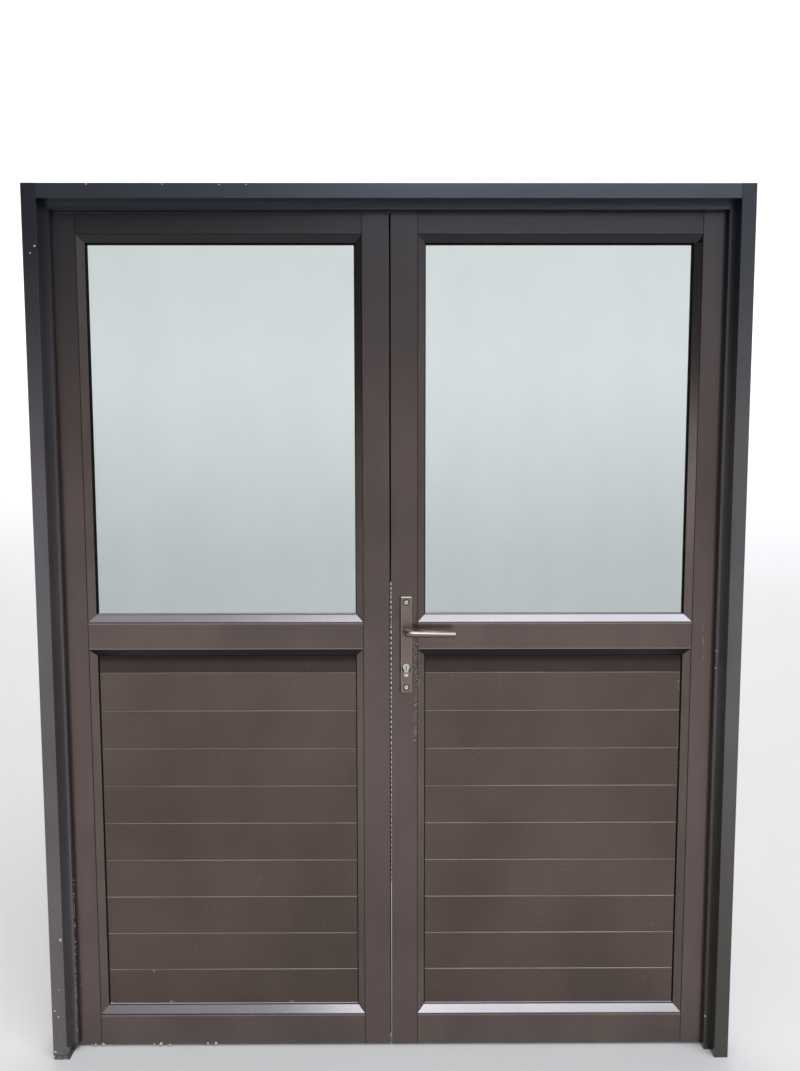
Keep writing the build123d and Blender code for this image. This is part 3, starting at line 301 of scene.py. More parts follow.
def slats():
    """The bronze coating with a step in tone from slat to slat, and rain runs below the mid rail."""
    material = bronze("bronze_slats", "#66574e", "#594b43", "#594b43", "X", lines_x=openings_x, shift=7)
    tree, shader, place, base = reopen(material)
    split = add(tree, "SeparateXYZ", {"Vector": place})
    height = split.outputs["Z"]
    number = add(tree, "Math", (add(tree, "Math", (height, FIRST_JOINT), operation="SUBTRACT"), SLAT_PITCH),
                 operation="DIVIDE")
    nearest = add(tree, "Math", [number], operation="ROUND")
    from_joint = add(tree, "Math", (number, nearest), operation="SUBTRACT")
    from_joint = add(tree, "Math", [from_joint], operation="ABSOLUTE")
    number = add(tree, "Math", [number], operation="FLOOR")
    side = add(tree, "Math", [split.outputs["X"]], operation="SIGN")
    seed = add(tree, "Math", (number, add(tree, "Math", (side, 31), operation="MULTIPLY")), operation="ADD")
    own = add(tree, "TexWhiteNoise", {"W": seed}, noise_dimensions="1D")
    base = add(tree, "Mix", {0: add(tree, "Math", (own, 0.14), operation="MULTIPLY"), 6: base,
                             7: colour("#2e2420")})
    runs = add(tree, "MapRange", (pattern(tree, place, (4, 9, 160), 3.0, 0.6, 3), 0.60, 0.72))
    reach = add(tree, "MapRange", (height, 0.90, 1.0, 0.0, 0.35))
    base = add(tree, "Mix", {0: add(tree, "Math", (runs, reach), operation="MULTIPLY"), 6: base,
                             7: colour("#8b7f76")})
    shade = add(tree, "Math", (add(tree, "MapRange", (height, TOP_JOINT, TOP_JOINT + 1 * MM, 0.0, 0.6)),
                               add(tree, "MapRange", (height, TOP_JOINT, 1.015, 0.0, 0.93))),
                operation="MAXIMUM")
    base = add(tree, "Mix", {0: shade, 6: base, 7: colour("#150b08")})
    lip = add(tree, "MapRange", (upward(tree), 0.15, 0.4))
    base = add(tree, "Mix", {0: lip, 6: base, 7: colour("#6b625b")})
    # A painted highlight: a thin pale line along each joint, where the top edge catches the light
    edge = add(tree, "MapRange", (from_joint, 1.5 * MM / SLAT_PITCH, 0.7 * MM / SLAT_PITCH))
    worn = add(tree, "MapRange", (pattern(tree, place, (300, 300, 20), 2.0, 0.5, 8), 0.3, 0.65, 0.1, 0.65))
    base = add(tree, "Mix", {0: add(tree, "Math", (edge, worn), operation="MULTIPLY"), 6: base,
                             7: colour("#a1968e")})
    rough = shader.inputs["Roughness"].links[0].from_socket
    rough = add(tree, "Math", (rough, add(tree, "Math", (lip, 0.25), operation="MULTIPLY")),
                operation="ADD")
    feed(tree, shader, Base_Color=base, Roughness=rough)
    return material


slat_finish = slats()
print("finish of the slats:", slat_finish.name)

# %% [markdown]
# ## Glass, rubber and the metals of the lock
#
# Laminated safety glass is two sheets on a clear film. Its faint grey-green comes from the iron
# in float glass. Light crosses both faces, so the shader's colour is the square root of the tint
# that the pane has as a whole. Old glass is never clean: a film of dust changes how sharply it
# mirrors, and that goes into the roughness.


# %% Glass, rubber and metals
def glass():
    """Clear laminated float glass with a thin, uneven film of dust."""
    material, tree, shader, place = finish_of("laminated_float_glass", IOR=1.52, Metallic=0.0,
                                              Transmission_Weight=1.0)
    film = pattern(tree, place, (140, 140, 420), 4.0, 0.6)
    tint = add(tree, "Mix", {0: add(tree, "MapRange", (film, 0.3, 0.7)), 6: colour("#c1c8c7"),
                             7: colour("#bec5c4")})
    feed(tree, shader, Base_Color=tint, Roughness=add(tree, "MapRange", (film, 0.35, 0.75, 0.0, 0.006)))
    # Rollers leave a very shallow wave in the sheet, a few hundred millimetres long
    feed(tree, shader, Normal=add(tree, "Bump", {"Height": pattern(tree, place, 320, 0.0),
                                                 "Distance": 0.05 * MM, "Strength": 0.1}))
    return material


def rubber():
    """Black extruded gasket rubber, matt, with chalky dust in its pores, and pale on what looks up."""
    material, tree, shader, place = finish_of("gasket_rubber", Metallic=0.0, Specular_IOR_Level=0.12)
    grit = pattern(tree, place, 2.2, 4.0)
    dust = add(tree, "MapRange", (pattern(tree, place, (40, 40, 90), 4.0), 0.5, 0.75, 0.0, 0.35))
    base = add(tree, "Mix", {0: dust, 6: colour("#080808"), 7: colour("#1c1b1a")})
    base = add(tree, "Mix", {0: add(tree, "MapRange", (upward(tree), 0.4, 0.8, 0.0, 0.9)), 6: base,
                             7: colour("#a6a29c")})
    feed(tree, shader, Base_Color=base, Roughness=add(tree, "MapRange", (grit, 0.3, 0.7, 0.55, 0.75)))
    feed(tree, shader, Normal=add(tree, "Bump", {"Height": grit, "Distance": 0.08 * MM, "Strength": 0.4}))
    return material


def metal(name, light, dark, roughness, brushed=None, line_mm=0.8, metallic=1.0, coat=0.0):
    """Bare or plated metal. brushed is the axis that the fine lines run along, or None."""
    material, tree, shader, place = finish_of(name, Metallic=metallic, Coat_Weight=coat,
                                              Coat_Roughness=0.15)
    sizes = np.full(3, line_mm)
    if brushed:
        sizes["XYZ".index(brushed)] = line_mm * 400
    lines = pattern(tree, place, tuple(sizes), 3.0, 0.6)
    stain = pattern(tree, place, 14, 4.0, 0.6, 3)
    base = add(tree, "Mix", {0: add(tree, "MapRange", (lines, 0.3, 0.7)), 6: colour(dark),
                             7: colour(light)})
    base = add(tree, "Mix", {0: add(tree, "MapRange", (stain, 0.5, 0.8, 0.0, 0.3)), 6: base,
                             7: colour(dark)})
    rough = add(tree, "Math", (add(tree, "Math", (lines, 0.05), operation="MULTIPLY"),
                               add(tree, "Math", (stain, 0.04), operation="MULTIPLY")), operation="ADD")
    feed(tree, shader, Base_Color=base,
         Roughness=add(tree, "Math", (rough, roughness - 0.045), operation="ADD"))
    feed(tree, shader, Normal=add(tree, "Bump", {"Height": lines, "Distance": 0.004 * MM,
                                                 "Strength": 0.15}))
    return material


def lay_over(material, mask_of, shade="#0d0a09"):
    """Lays a colour over a finish through the mask that mask_of makes from its tree, x and z: here painted
    shade and painted highlights.
    """
    tree, shader, place, base = reopen(material)
    split = add(tree, "SeparateXYZ", {"Vector": place})
    mask = mask_of(tree, split.outputs["X"], split.outputs["Z"])
    feed(tree, shader, Base_Color=add(tree, "Mix", {0: mask, 6: base, 7: colour(shade)}))


def around(tree, x, z, centre, inner, outer):
    """A ring round a point, from radius inner to outer, in metres."""
    across = add(tree, "Math", (x, centre[0]), operation="SUBTRACT")
    rise = add(tree, "Math", (z, centre[1]), operation="SUBTRACT")
    squares = add(tree, "Math", (add(tree, "Math", (across, across), operation="MULTIPLY"),
                                 add(tree, "Math", (rise, rise), operation="MULTIPLY")), operation="ADD")
    radius = add(tree, "Math", [squares], operation="SQRT")
    return add(tree, "Math", (add(tree, "MapRange", (radius, inner - 0.2 * MM, inner + 0.2 * MM)),
                              add(tree, "MapRange", (radius, outer + 0.3 * MM, outer - 0.3 * MM))),
               operation="MULTIPLY")


def within(tree, x, z, centre, half, soft):
    """A rectangle: 1 inside, fading to 0 over the distance soft outside its half width and height."""
    over = []
    for value, middle, edge in zip((x, z), centre, half):
        away = add(tree, "Math", (value, middle), operation="SUBTRACT")
        away = add(tree, "Math", [away], operation="ABSOLUTE")
        over.append(add(tree, "Math", (away, edge), operation="SUBTRACT"))
    return add(tree, "MapRange", (add(tree, "Math", over, operation="MAXIMUM"), soft, 0.0))


glass_finish = glass()
rubber_finish = rubber()
plate_finish = metal("satin_bronze_anodised", "#8f7d74", "#7c6b61", 0.32, "Z", 1.0, 0.85, 0.2)
lever_finish = metal("satin_anodised_lever", "#96877a", "#87796c", 0.22, "X", 0.8, 0.95, 0.3)
nickel_finish, plate_screw_finish = (metal(name, "#f2efe9", "#dcd8d0", 0.22, None, 1.5)
                                     for name in ("bright_nickel", "nickel_screw_head"))
cylinder_finish = metal("nickel_plated_cylinder", "#efebe4", "#d6d1c8", 0.22, None, 1.5)
stainless_finish = metal("brushed_stainless", "#bdbab4", "#96938e", 0.34, "Z", 0.8)
screw_finish = metal("blackened_screws", "#4a4440", "#352f2c", 0.4, None, 1.2)
print("glass, rubber and metals:", [finish.name for finish in (
    glass_finish, rubber_finish, plate_finish, lever_finish, nickel_finish, plate_screw_finish,
    cylinder_finish, stainless_finish, screw_finish)])

# %% [markdown]
# Shade is painted as a dark line round the edges of the lock's outside parts: the plate's shadow
# below it and to its left, rings round its two screws, the screws' sockets, and rings round the
# cylinder and in the gap round its plug. The keyway is painted as a dark slot, and the cylinder's
# neck is painted in the shade. The plate's rounded edges are painted bright as highlights, the top
# one most. The lever's grip is flat in the construction model and crowned on the real one, so a
# relief gives its front two soft slopes: the upper one mirrors the sky and the lower one the ground.

# %% Painted shade and painted highlights on the handle and the lock
plate_low, plate_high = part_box("outside_plate")
plug_low, plug_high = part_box("key_plug")
plate_middle = ((plate_low.x + plate_high.x) / 2, (plate_low.z + plate_high.z) / 2)
plate_half = ((plate_high.x - plate_low.x) / 2, (plate_high.z - plate_low.z) / 2)
plug_middle = ((plug_low.x + plug_high.x) / 2, (plug_low.z + plug_high.z) / 2)
PLATE_SCREW_INSET, PLATE_SCREW_HEAD = 13.5 * MM, 5.2 * MM
PLUG_RADIUS, BARREL_RADIUS = 6.5 * MM, 8.5 * MM
LEVER_HEIGHT, ELBOW = 1087.5 * MM, 16 * MM
screw_middles = [(plate_middle[0], plate_middle[1] + end * (plate_half[1] - PLATE_SCREW_INSET))
                 for end in (-1, 1)]


def beside_plate(tree, x, z):
    """The shade of the plate, which falls to its left and below it."""
    moved = (plate_middle[0] - 2.2 * MM, plate_middle[1] - 1.6 * MM)
    return add(tree, "Math", (within(tree, x, z, moved, plate_half, 2.2 * MM), 0.85), operation="MULTIPLY")


def on_plate(tree, x, z):
    """Rings of painted shade round both screws and round the cylinder's barrel."""
    total = around(tree, x, z, plug_middle, BARREL_RADIUS, BARREL_RADIUS + 2.6 * MM)
    for centre in screw_middles:
        ring = around(tree, x, z, centre, PLATE_SCREW_HEAD - 0.4 * MM, PLATE_SCREW_HEAD + 2.4 * MM)
        total = add(tree, "Math", (total, ring), operation="MAXIMUM")
    return add(tree, "Math", (total, 0.9), operation="MULTIPLY")


def on_cylinder(tree, x, z):
    """Painted shade in the gap round the plug and in the keyway, and on the neck below the barrel."""
    gap = around(tree, x, z, plug_middle, PLUG_RADIUS - 0.5 * MM, PLUG_RADIUS + 0.4 * MM)
    key = within(tree, x, z, (plug_middle[0], plug_middle[1] - 0.8 * MM), (0.9 * MM, 3.6 * MM), 0.4 * MM)
    neck = within(tree, x, z, (plug_middle[0], plug_middle[1] - 12 * MM), (4.5 * MM, 1.8 * MM), 1.4 * MM)
    marks = add(tree, "Math", (add(tree, "Math", (gap, 0.7), operation="MULTIPLY"),
                               add(tree, "Math", (neck, 0.6), operation="MULTIPLY")), operation="MAXIMUM")
    return add(tree, "Math", (marks, key), operation="MAXIMUM")


def screw_drives(tree, x, z):
    """The recesses in the middle of the two screws' heads, painted dark as shade."""
    total = 0.0
    for centre in screw_middles:
        recess = within(tree, x, z, centre, (0.8 * MM, 0.8 * MM), 1.2 * MM)
        total = add(tree, "Math", (total, recess), operation="MAXIMUM")
    return total


def plate_edges(tree, x, z):
    """Painted highlights on the rounded edges of the plate, brightest on the top one."""
    flat = (plate_half[0] - 1.7 * MM, plate_half[1] - 1.8 * MM)
    inside = within(tree, x, z, plate_middle, flat, 0.9 * MM)
    top = add(tree, "MapRange", (z, plate_high.z - 3.4 * MM, plate_high.z - 2.2 * MM, 0.5, 1.0))
    return add(tree, "Math", (add(tree, "Math", (1.0, inside), operation="SUBTRACT"), top),
               operation="MULTIPLY")


def crown(material, drop=2.25 * MM, slope=0.62, ridge=2.2 * MM, low=0.6 * MM, deep=13 * MM):
    """Draws the grip's front as two slopes that meet in a rounded ridge.

    The relief is -slope sqrt(d^2 + ridge^2), with d the height over the ridge, which runs a little
    below the grip's middle. The grip tapers, so the ridge falls by drop from the elbow to the tip.
    What lies further back than deep, such as the neck, stays plain.
    """
    tree, shader, place, _ = reopen(material)
    split = add(tree, "SeparateXYZ", {"Vector": place})
    lever_low, lever_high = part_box("outside_lever")
    root, tip = plug_middle[0] + ELBOW, lever_high.x
    sunk = add(tree, "Math", (add(tree, "Math", (split.outputs["X"], root), operation="SUBTRACT"),
                              drop / (tip - root)), operation="MULTIPLY")
    above = add(tree, "Math", (add(tree, "Math", (split.outputs["Z"], LEVER_HEIGHT - low),
                                   operation="SUBTRACT"), sunk), operation="ADD")
    square = add(tree, "Math", (add(tree, "Math", (above, above), operation="MULTIPLY"), ridge * ridge),
                 operation="ADD")
    height = add(tree, "Math", (add(tree, "Math", [square], operation="SQRT"), -slope),
                 operation="MULTIPLY")
    front = add(tree, "MapRange", (split.outputs["Y"], lever_low.y + deep, lever_low.y + deep - 3 * MM))
    height = add(tree, "Math", (height, front), operation="MULTIPLY")
    feed(tree, shader, Normal=add(tree, "Bump", {"Height": height, "Distance": 1.0, "Strength": 1.0}))


# Painted shade beside the plate, round the screws and the cylinder, in the keyway and sockets and on the
# cylinder's neck; painted highlights on the plate's edges
lay_over(lock_stile_finish, beside_plate)
lay_over(plate_finish, plate_edges, "#cfc4b8")
lay_over(plate_finish, on_plate)
lay_over(cylinder_finish, on_cylinder)
lay_over(plate_screw_finish, screw_drives, "#2a211c")
crown(lever_finish)
# These finishes carry painted shade, and the plate's painted highlights as well
print("dirt and wear on:", [m.name for m in (lock_stile_finish, plate_finish, cylinder_finish,
                                             plate_screw_finish)])
print("crowned:", lever_finish.name)


# %% [markdown]
# Zinc plating shows dull crystals a few millimetres wide. They come from a Voronoi pattern, whose
# cells each take a random grey. The packers under the left jamb are offcuts of aluminium plate:
# dark and dirty on top, and bright where the saw went through.


# %% Zinc, nylon, packers and pile
def zinc():
    """Zinc plated steel with dull grey crystals 4 mm wide."""
    material, tree, shader, place = finish_of("zinc_plated_steel", Metallic=1.0)
    cells = add(tree, "TexVoronoi", {"Vector": place, "Scale": 1 / (4 * MM)}).outputs["Color"]
    grey = add(tree, "RGBToBW", {"Color": cells}).outputs["Val"]
    feed(tree, shader, Base_Color=add(tree, "Mix", {0: grey, 6: colour("#8b8d8a"), 7: colour("#b4b5b1")}),
         Roughness=add(tree, "MapRange", (grey, 0.0, 1.0, 0.32, 0.5)))
    return material


def nylon():
    """Black moulded nylon with a fine spark-eroded grain."""
    material, tree, shader, place = finish_of("moulded_nylon", Metallic=0.0)
    grain = pattern(tree, place, 1.4, 2.0)
    feed(tree, shader, Base_Color=add(tree, "Mix", {0: grain, 6: colour("#161618"), 7: colour("#242427")}),
         Roughness=add(tree, "MapRange", (grain, 0.2, 0.8, 0.42, 0.58)))
    feed(tree, shader, Normal=add(tree, "Bump", {"Height": grain, "Distance": 0.05 * MM, "Strength": 0.5}))
    return material


def packer():
    """Cut aluminium plate: grey with dirt on its faces, bright along the sawn edges."""
    material, tree, shader, place = finish_of("sawn_aluminium_plate", Metallic=0.9)
    dirt = pattern(tree, place, (16, 16, 6), 4.0, 0.6)
    face = add(tree, "Mix", {0: add(tree, "MapRange", (dirt, 0.35, 0.65)), 6: colour("#39342f"),
                             7: colour("#6b655e")})
    saw_marks = add(tree, "MapRange", (pattern(tree, place, (1.2, 1.2, 20), 2.0), 0.3, 0.7))
    sawn = add(tree, "Mix", {0: saw_marks, 6: colour("#8d8983"), 7: colour("#d9d6d0")})
    level = add(tree, "Math", [upward(tree)], operation="ABSOLUTE")
    edge = add(tree, "Math", (add(tree, "MapRange", (level, 0.6, 0.3)),
                              add(tree, "MapRange", (dirt, 0.6, 0.4, 0.25, 0.9))), operation="MULTIPLY")
    feed(tree, shader, Base_Color=add(tree, "Mix", {0: edge, 6: face, 7: sawn}),
         Roughness=add(tree, "MapRange", (dirt, 0.3, 0.7, 0.35, 0.6)))
    feed(tree, shader, Normal=add(tree, "Bump", {"Height": dirt, "Distance": 0.2 * MM, "Strength": 0.4}))
    return material


def pile():
    """Polypropylene pile of a draught strip: black, with its tips lower down painted pale as lit from
    behind.
    """
    material, tree, shader, place = finish_of("woven_pile", Metallic=0.0, Sheen_Weight=0.4)
    tuft = pattern(tree, place, 1.5, 3.0)
    split = add(tree, "SeparateXYZ", {"Vector": place})
    # The pale tips are painted light: the light from behind shines through the pile where the fin is torn
    worn = add(tree, "Math", (add(tree, "MapRange", (split.outputs["X"], 0.2 * MM, 1.0 * MM)),
                              add(tree, "MapRange", (split.outputs["Z"], 1.32, 1.12))),
               operation="MULTIPLY")
    base = add(tree, "Mix", {0: tuft, 6: colour("#0c0c0d"), 7: colour("#232325")})
    feed(tree, shader, Base_Color=add(tree, "Mix", {0: worn, 6: base, 7: colour("#c9c4bd")}),
         Roughness=add(tree, "MapRange", (tuft, 0.2, 0.8, 0.7, 0.9)))
    return material


zinc_finish, nylon_finish, packer_finish, pile_finish = zinc(), nylon(), packer(), pile()
print("finishes:", [m.name for m in (zinc_finish, nylon_finish, packer_finish, pile_finish)])

# %% [markdown]
# ## Give every node its finish
#
# Each node of the door takes the finish of the real piece. Names that end alike are alike, so the
# two leaves are dressed by one table.

# %% Dress the nodes
finishes = {
    "left_jamb": frame_left, "right_jamb": frame_right, "head": frame_level,
    "head_screws": zinc_finish, "frame_gasket": rubber_finish, "left_jamb_packers": packer_finish,
    "frame_hinge_screws": screw_finish, "left_meeting_pile": pile_finish,
    "strike_plate": stainless_finish, "bolt_plates": stainless_finish, "bolt_guides": nylon_finish,
    "left_edge_screws": stainless_finish, "lock_case": zinc_finish, "lock_faceplate": stainless_finish,
    "lock_screws": stainless_finish, "outside_plate": plate_finish, "inside_plate": plate_finish,
    "plate_screws": plate_screw_finish, "cylinder_body": cylinder_finish, "top_bolt": stainless_finish,
    "bottom_bolt": stainless_finish, "outside_lever": lever_finish, "inside_lever": lever_finish,
    "spindle": zinc_finish, "follower": zinc_finish, "latch_bolt": nickel_finish,
    "deadbolt": nickel_finish, "key_plug": cylinder_finish,
}
leaf_finishes = {
    "hinge_stile": leaf_upright, "meeting_stile": leaf_upright, "top_rail": leaf_level,
    "mid_rail": leaf_level, "bottom_rail": leaf_level, "tie_rods": zinc_finish,
    "glass": glass_finish, "panel_slats": slat_finish, "glass_beads": bead_finish,
    "panel_beads": bead_finish, "gaskets": rubber_finish, "setting_blocks": nylon_finish,
    "frame_hinges": hinge_finish, "leaf_hinges": hinge_finish, "leaf_hinge_screws": screw_finish,
}
finishes.update({f"{hand}_{end}": m for hand in ("left", "right") for end, m in leaf_finishes.items()})
finishes["right_meeting_stile"] = lock_stile_finish
for name, node in nodes.items():
    node.data.materials.clear()
    node.data.materials.append(finishes[name])
print("dressed:", len(nodes), "without a finish:", sorted(set(nodes) - set(finishes)))

# %% [markdown]
# ## Surfaces from rings
#
# Most of the small pieces here are turned or pressed, so one form serves them all: a stack of
# rings along an axis. Ring k has a radius for each direction t, and a height. A point is
# (r cos t, r sin t, h), worked out for all rings and directions at once. Because a radius may
# change with direction, the same function makes a round head, a hexagonal socket, a cross slot or
# the ragged rim of a speck of mortar. The first and last ring are closed by one flat face each.


# %% Rings, and a piece from several of them
def directions(turns=24):
    """The angle of each point of a ring."""
    return np.linspace(0, 2 * pi, turns, endpoint=False)


def rings(radii, heights, turns=24):
    """Points (r cos t, r sin t, h) and faces of a stack of rings, closed at both ends.

    radii holds a number or an array over t for each ring, heights a number for each ring.
    """
    t = directions(turns)
    r = np.array([np.broadcast_to(one, turns) for one in radii])
    h = np.broadcast_to(np.array(heights)[:, None], r.shape)
    points = np.stack([r * np.cos(t), r * np.sin(t), h], axis=-1).reshape(-1, 3)
    k, i = np.meshgrid(np.arange(len(r) - 1), np.arange(turns), indexing="ij")
    j = (i + 1) % turns
    quads = np.stack([k * turns + i, k * turns + j, (k + 1) * turns + j, (k + 1) * turns + i], axis=-1)
    faces = quads.reshape(-1, 4).tolist()
    faces.append(list(range(turns))[::-1])
    faces.append(list(range((len(r) - 1) * turns, len(r) * turns)))
    return points, faces


def along(points, centre, axis, turn=0.0):
    """Turns points so that their Z runs along an axis, and moves them to a centre."""
    spin = Vector(axis).to_track_quat("Z", "Y").to_matrix() @ Matrix.Rotation(turn, 3, "Z")
    return points @ np.array(spin).T + np.array(centre)


def piece(name, parts, body, material, smooth=False):
    """One object from several (points, faces), riding on a body, with a finish."""
    points, faces, start = [], [], 0
    for part_points, part_faces in parts:
        points.append(part_points)
        faces += [[start + i for i in face] for face in part_faces]
        start += len(part_points)
    mesh = bpy.data.meshes.new(name)
    mesh.from_pydata(np.vstack(points).tolist(), [], faces)
    shape = bmesh.new()
    shape.from_mesh(mesh)
    bmesh.ops.recalc_face_normals(shape, faces=shape.faces)
    shape.to_mesh(mesh)
    shape.free()
    mesh.materials.append(material)
    mesh.polygons.foreach_set("use_smooth", np.full(len(mesh.polygons), smooth))
    made = bpy.data.objects.new(name, mesh)
    bpy.context.scene.collection.objects.link(made)
    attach(made, body)
    print(name, "faces:", len(mesh.polygons))
    return made


# %% [markdown]
# ## Screws
#
# The construction model has plain screws. Their places are read back from it: the flat heads are
# the points of a node that lie furthest out along an axis, and each group of near points is one
# head. The hinge, bolt and lock screws are countersunk with a cross slot. The two that clamp the
# handle plates have a button head with a hexagonal socket, which is the dark dot in the bright
# disc.


# %% Where the heads are
def head_places(node, axis):
    """Centres of the flat heads of screws that face along a signed axis, such as (0, 1, 0)."""
    mesh = nodes[node].data
    co = np.empty(len(mesh.vertices) * 3)
    mesh.vertices.foreach_get("co", co)
    co = co.reshape(-1, 3)
    reach = co @ np.array(axis, float)
    top = co[reach > reach.max() - 0.02 * MM]
    centres = []
    while len(top):
        same = np.linalg.norm(top - top[0], axis=1) < 14 * MM
        centres.append((top[same].min(0) + top[same].max(0)) / 2)
        top = top[~same]
    return centres


def cross_slot(width, length, turns):
    """Radius of a plus-shaped slot at each direction: the nearer of the arm's end and its side."""
    a = np.abs((directions(turns) + pi / 4) % (pi / 2) - pi / 4)
    return np.minimum(length / np.cos(a), width / np.maximum(np.sin(a), 1e-3))


def hexagon(flat, turns):
    """Radius of a hexagon at each direction, from the distance to its flats."""
    return flat / np.cos((directions(turns) + pi / 6) % (pi / 3) - pi / 6)


def countersunk(length, head=4.6 * MM, shank=2.4 * MM):
    """A countersunk screw with a cross slot, its head's face at 0 and its shank below."""
    turns = 32
    slot = cross_slot(0.55 * MM, 2.5 * MM, turns)
    floor = cross_slot(0.3 * MM, 1.2 * MM, turns)
    return rings([shank * 0.4, shank, shank, head, head * 0.97, slot, floor],
                 [-length, -length + 2 * MM, -(head - shank), -0.25 * MM, 0, 0, -1.8 * MM], turns)


def button_head(grip, head=5.2 * MM, shank=2.5 * MM, rise=1.6 * MM):
    """Half a clamping screw: a domed button head with a hexagonal socket, its seat at 0."""
    turns = 36
    dome = np.linspace(0, 1, 6)
    dome_r = head * (1 - 0.16 * dome ** 2)
    dome_h = rise * (0.25 + 0.75 * np.sin(dome * pi / 2))
    socket = hexagon(1.55 * MM, turns)
    return rings([shank, shank, head * 0.98, *dome_r, socket * 1.08, socket, socket * 0.9],
                 [-grip, 0, 0, *dome_h, rise, rise - 0.15 * MM, 0.2 * MM], turns)


# %% Countersunk screws of the hinges, bolts and lock
screw_groups = [
    ("frame_hinge_screws", (0, 1, 0), 12 * MM, "frame", "bronze_screws", screw_finish),
    ("left_leaf_hinge_screws", (0, 1, 0), 12 * MM, "left_leaf", "bronze_screws", screw_finish),
    ("right_leaf_hinge_screws", (0, 1, 0), 12 * MM, "right_leaf", "bronze_screws", screw_finish),
    ("left_edge_screws", (1, 0, 0), 9 * MM, "left_leaf", "lock_steel", stainless_finish),
    ("lock_screws", (-1, 0, 0), 9 * MM, "right_leaf", "lock_steel", stainless_finish),
]
for node, axis, length, body, slot, material in screw_groups:
    found = head_places(node, axis)
    parts = []
    for number, centre in enumerate(found):
        points, faces = countersunk(length)
        parts.append((along(points, centre, axis, 0.7 * number), faces))
    made = piece(f"{node}_slotted", parts, body, material)
    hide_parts(node)
    print(node, "heads:", len(found))

# %% Clamping screws of the handle plates
low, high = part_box("plate_screws")
half = (high.y - low.y) / 2
seat = half - 1.6 * MM
parts = []
for centre in head_places("plate_screws", (0, -1, 0)):
    for way in (-1, 1):
        points, faces = button_head(seat - 0.5 * MM)
        parts.append((along(points, (centre[0], way * seat, centre[2]), (0, way, 0), 0.4), faces))
plate_screws = piece("plate_screws_button", parts, "right_leaf", plate_screw_finish)
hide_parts("plate_screws")

# %% [markdown]
# ## The draught strip
#
# A woven pile strip closes the gap between the leaves. It is a ribbon with thousands of short
# fibres, which the eye sees as a soft matt edge. Each fibre here is a thin spike with three
# sides: three points on the ribbon and one at the tip, leaning a little at random. All of them
# are worked out in one array. A fin of black film stands in the middle of the pile and stops the
# draught. Up to hand height, where people brush past, the fin has torn away between the tufts,
# and a little light from behind comes through. Near the floor the fibres are worn off altogether.


# %% Pile
def pile_reach(z, torn_below=1.2, gone_below=0.42, pitch=12.8 * MM, tuft=0.46):
    """How far the pile reaches at height z: 1 on a tuft and above the torn part, 0 in a torn gap.

    Below gone_below it is worn away everywhere. The place within one pitch is
    z/pitch + 0.18 sin(z/37 mm) + 0.1 sin(z/11 mm), so no two gaps are quite the same.
    """
    phase = (z / pitch + 0.18 * np.sin(z / (37 * MM)) + 0.1 * np.sin(z / (11 * MM))) % 1.0
    return np.where((z > torn_below) | ((phase < tuft) & (z > gone_below)), 1.0, 0.0)


def pile_fin(steps=2400, thick=0.3 * MM, torn=-1.6, whole=1.7):
    """A thin film: a rectangle in X and Y at each height, with its edge torn or whole, in mm."""
    low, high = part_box("left_meeting_pile")
    z = np.linspace(low.z + 1 * MM, high.z + 3 * MM, steps)
    outer = high.x + (torn + (whole - torn) * pile_reach(z)) * MM
    inner = np.full(steps, high.x - 2.0 * MM)
    y = (low.y + high.y) / 2
    x = np.stack([inner, outer, outer, inner], axis=-1)
    depth = np.broadcast_to(y + thick / 2 * np.array([-1, -1, 1, 1]), x.shape)
    points = np.stack([x, depth, np.broadcast_to(z[:, None], x.shape)], axis=-1).reshape(-1, 3)
    k, i = np.meshgrid(np.arange(steps - 1), np.arange(4), indexing="ij")
    j = (i + 1) % 4
    faces = np.stack([4 * k + i, 4 * k + j, 4 * k + 4 + j, 4 * k + 4 + i], axis=-1).reshape(-1, 4).tolist()
    return points, faces + [[3, 2, 1, 0], [4 * steps - 4 + i for i in range(4)]]


def pile_strip(count=9000):
    """Fibres as spikes: three feet round (y, z), and a tip out along X that leans a little.

    A worn fibre keeps a stub, about a fifth of its length.
    """
    rng = np.random.default_rng(7)
    low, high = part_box("left_meeting_pile")
    base_x, tip_x = high.x - 2.6 * MM, high.x + 1.7 * MM
    y = rng.uniform(low.y + 0.9 * MM, high.y - 0.9 * MM, count)
    z = rng.uniform(low.z + 1 * MM, high.z - 1 * MM, count)
    angle = directions(3)
    thick = 0.45 * MM
    feet = np.stack([np.full((count, 3), base_x), y[:, None] + thick * np.cos(angle),
                     z[:, None] + thick * np.sin(angle)], axis=-1)
    lean = rng.normal(0, 0.35 * MM, (count, 2))
    length = rng.uniform(0.18, 0.24, count) + 0.76 * pile_reach(z)
    tips = np.stack([base_x + (tip_x - base_x) * length, np.clip(y + lean[:, 0], low.y, high.y),
                     z + lean[:, 1]], axis=-1)
    points = np.concatenate([feet, tips[:, None]], axis=1).reshape(-1, 3)
    first = np.arange(count)[:, None, None] * 4
    sides = np.array([[0, 1, 3], [1, 2, 3], [2, 0, 3], [0, 2, 1]])
    return points, (first + sides).reshape(-1, 3).tolist()


piece("meeting_pile_fibres", [pile_strip()], "left_leaf", pile_finish)
piece("meeting_pile_fin", [pile_fin()], "left_leaf", pile_finish)

# %% [markdown]
# ## The camera
#
# The photograph was taken from 1.48 m up, nearly 2 m in front of the door and a little right of
# its middle, looking down by less than five degrees. The values come from fitting the edges of
# the frame, the glazing and the slats. The camera is made before the specks below, because they are
# placed by where they show in the photograph.

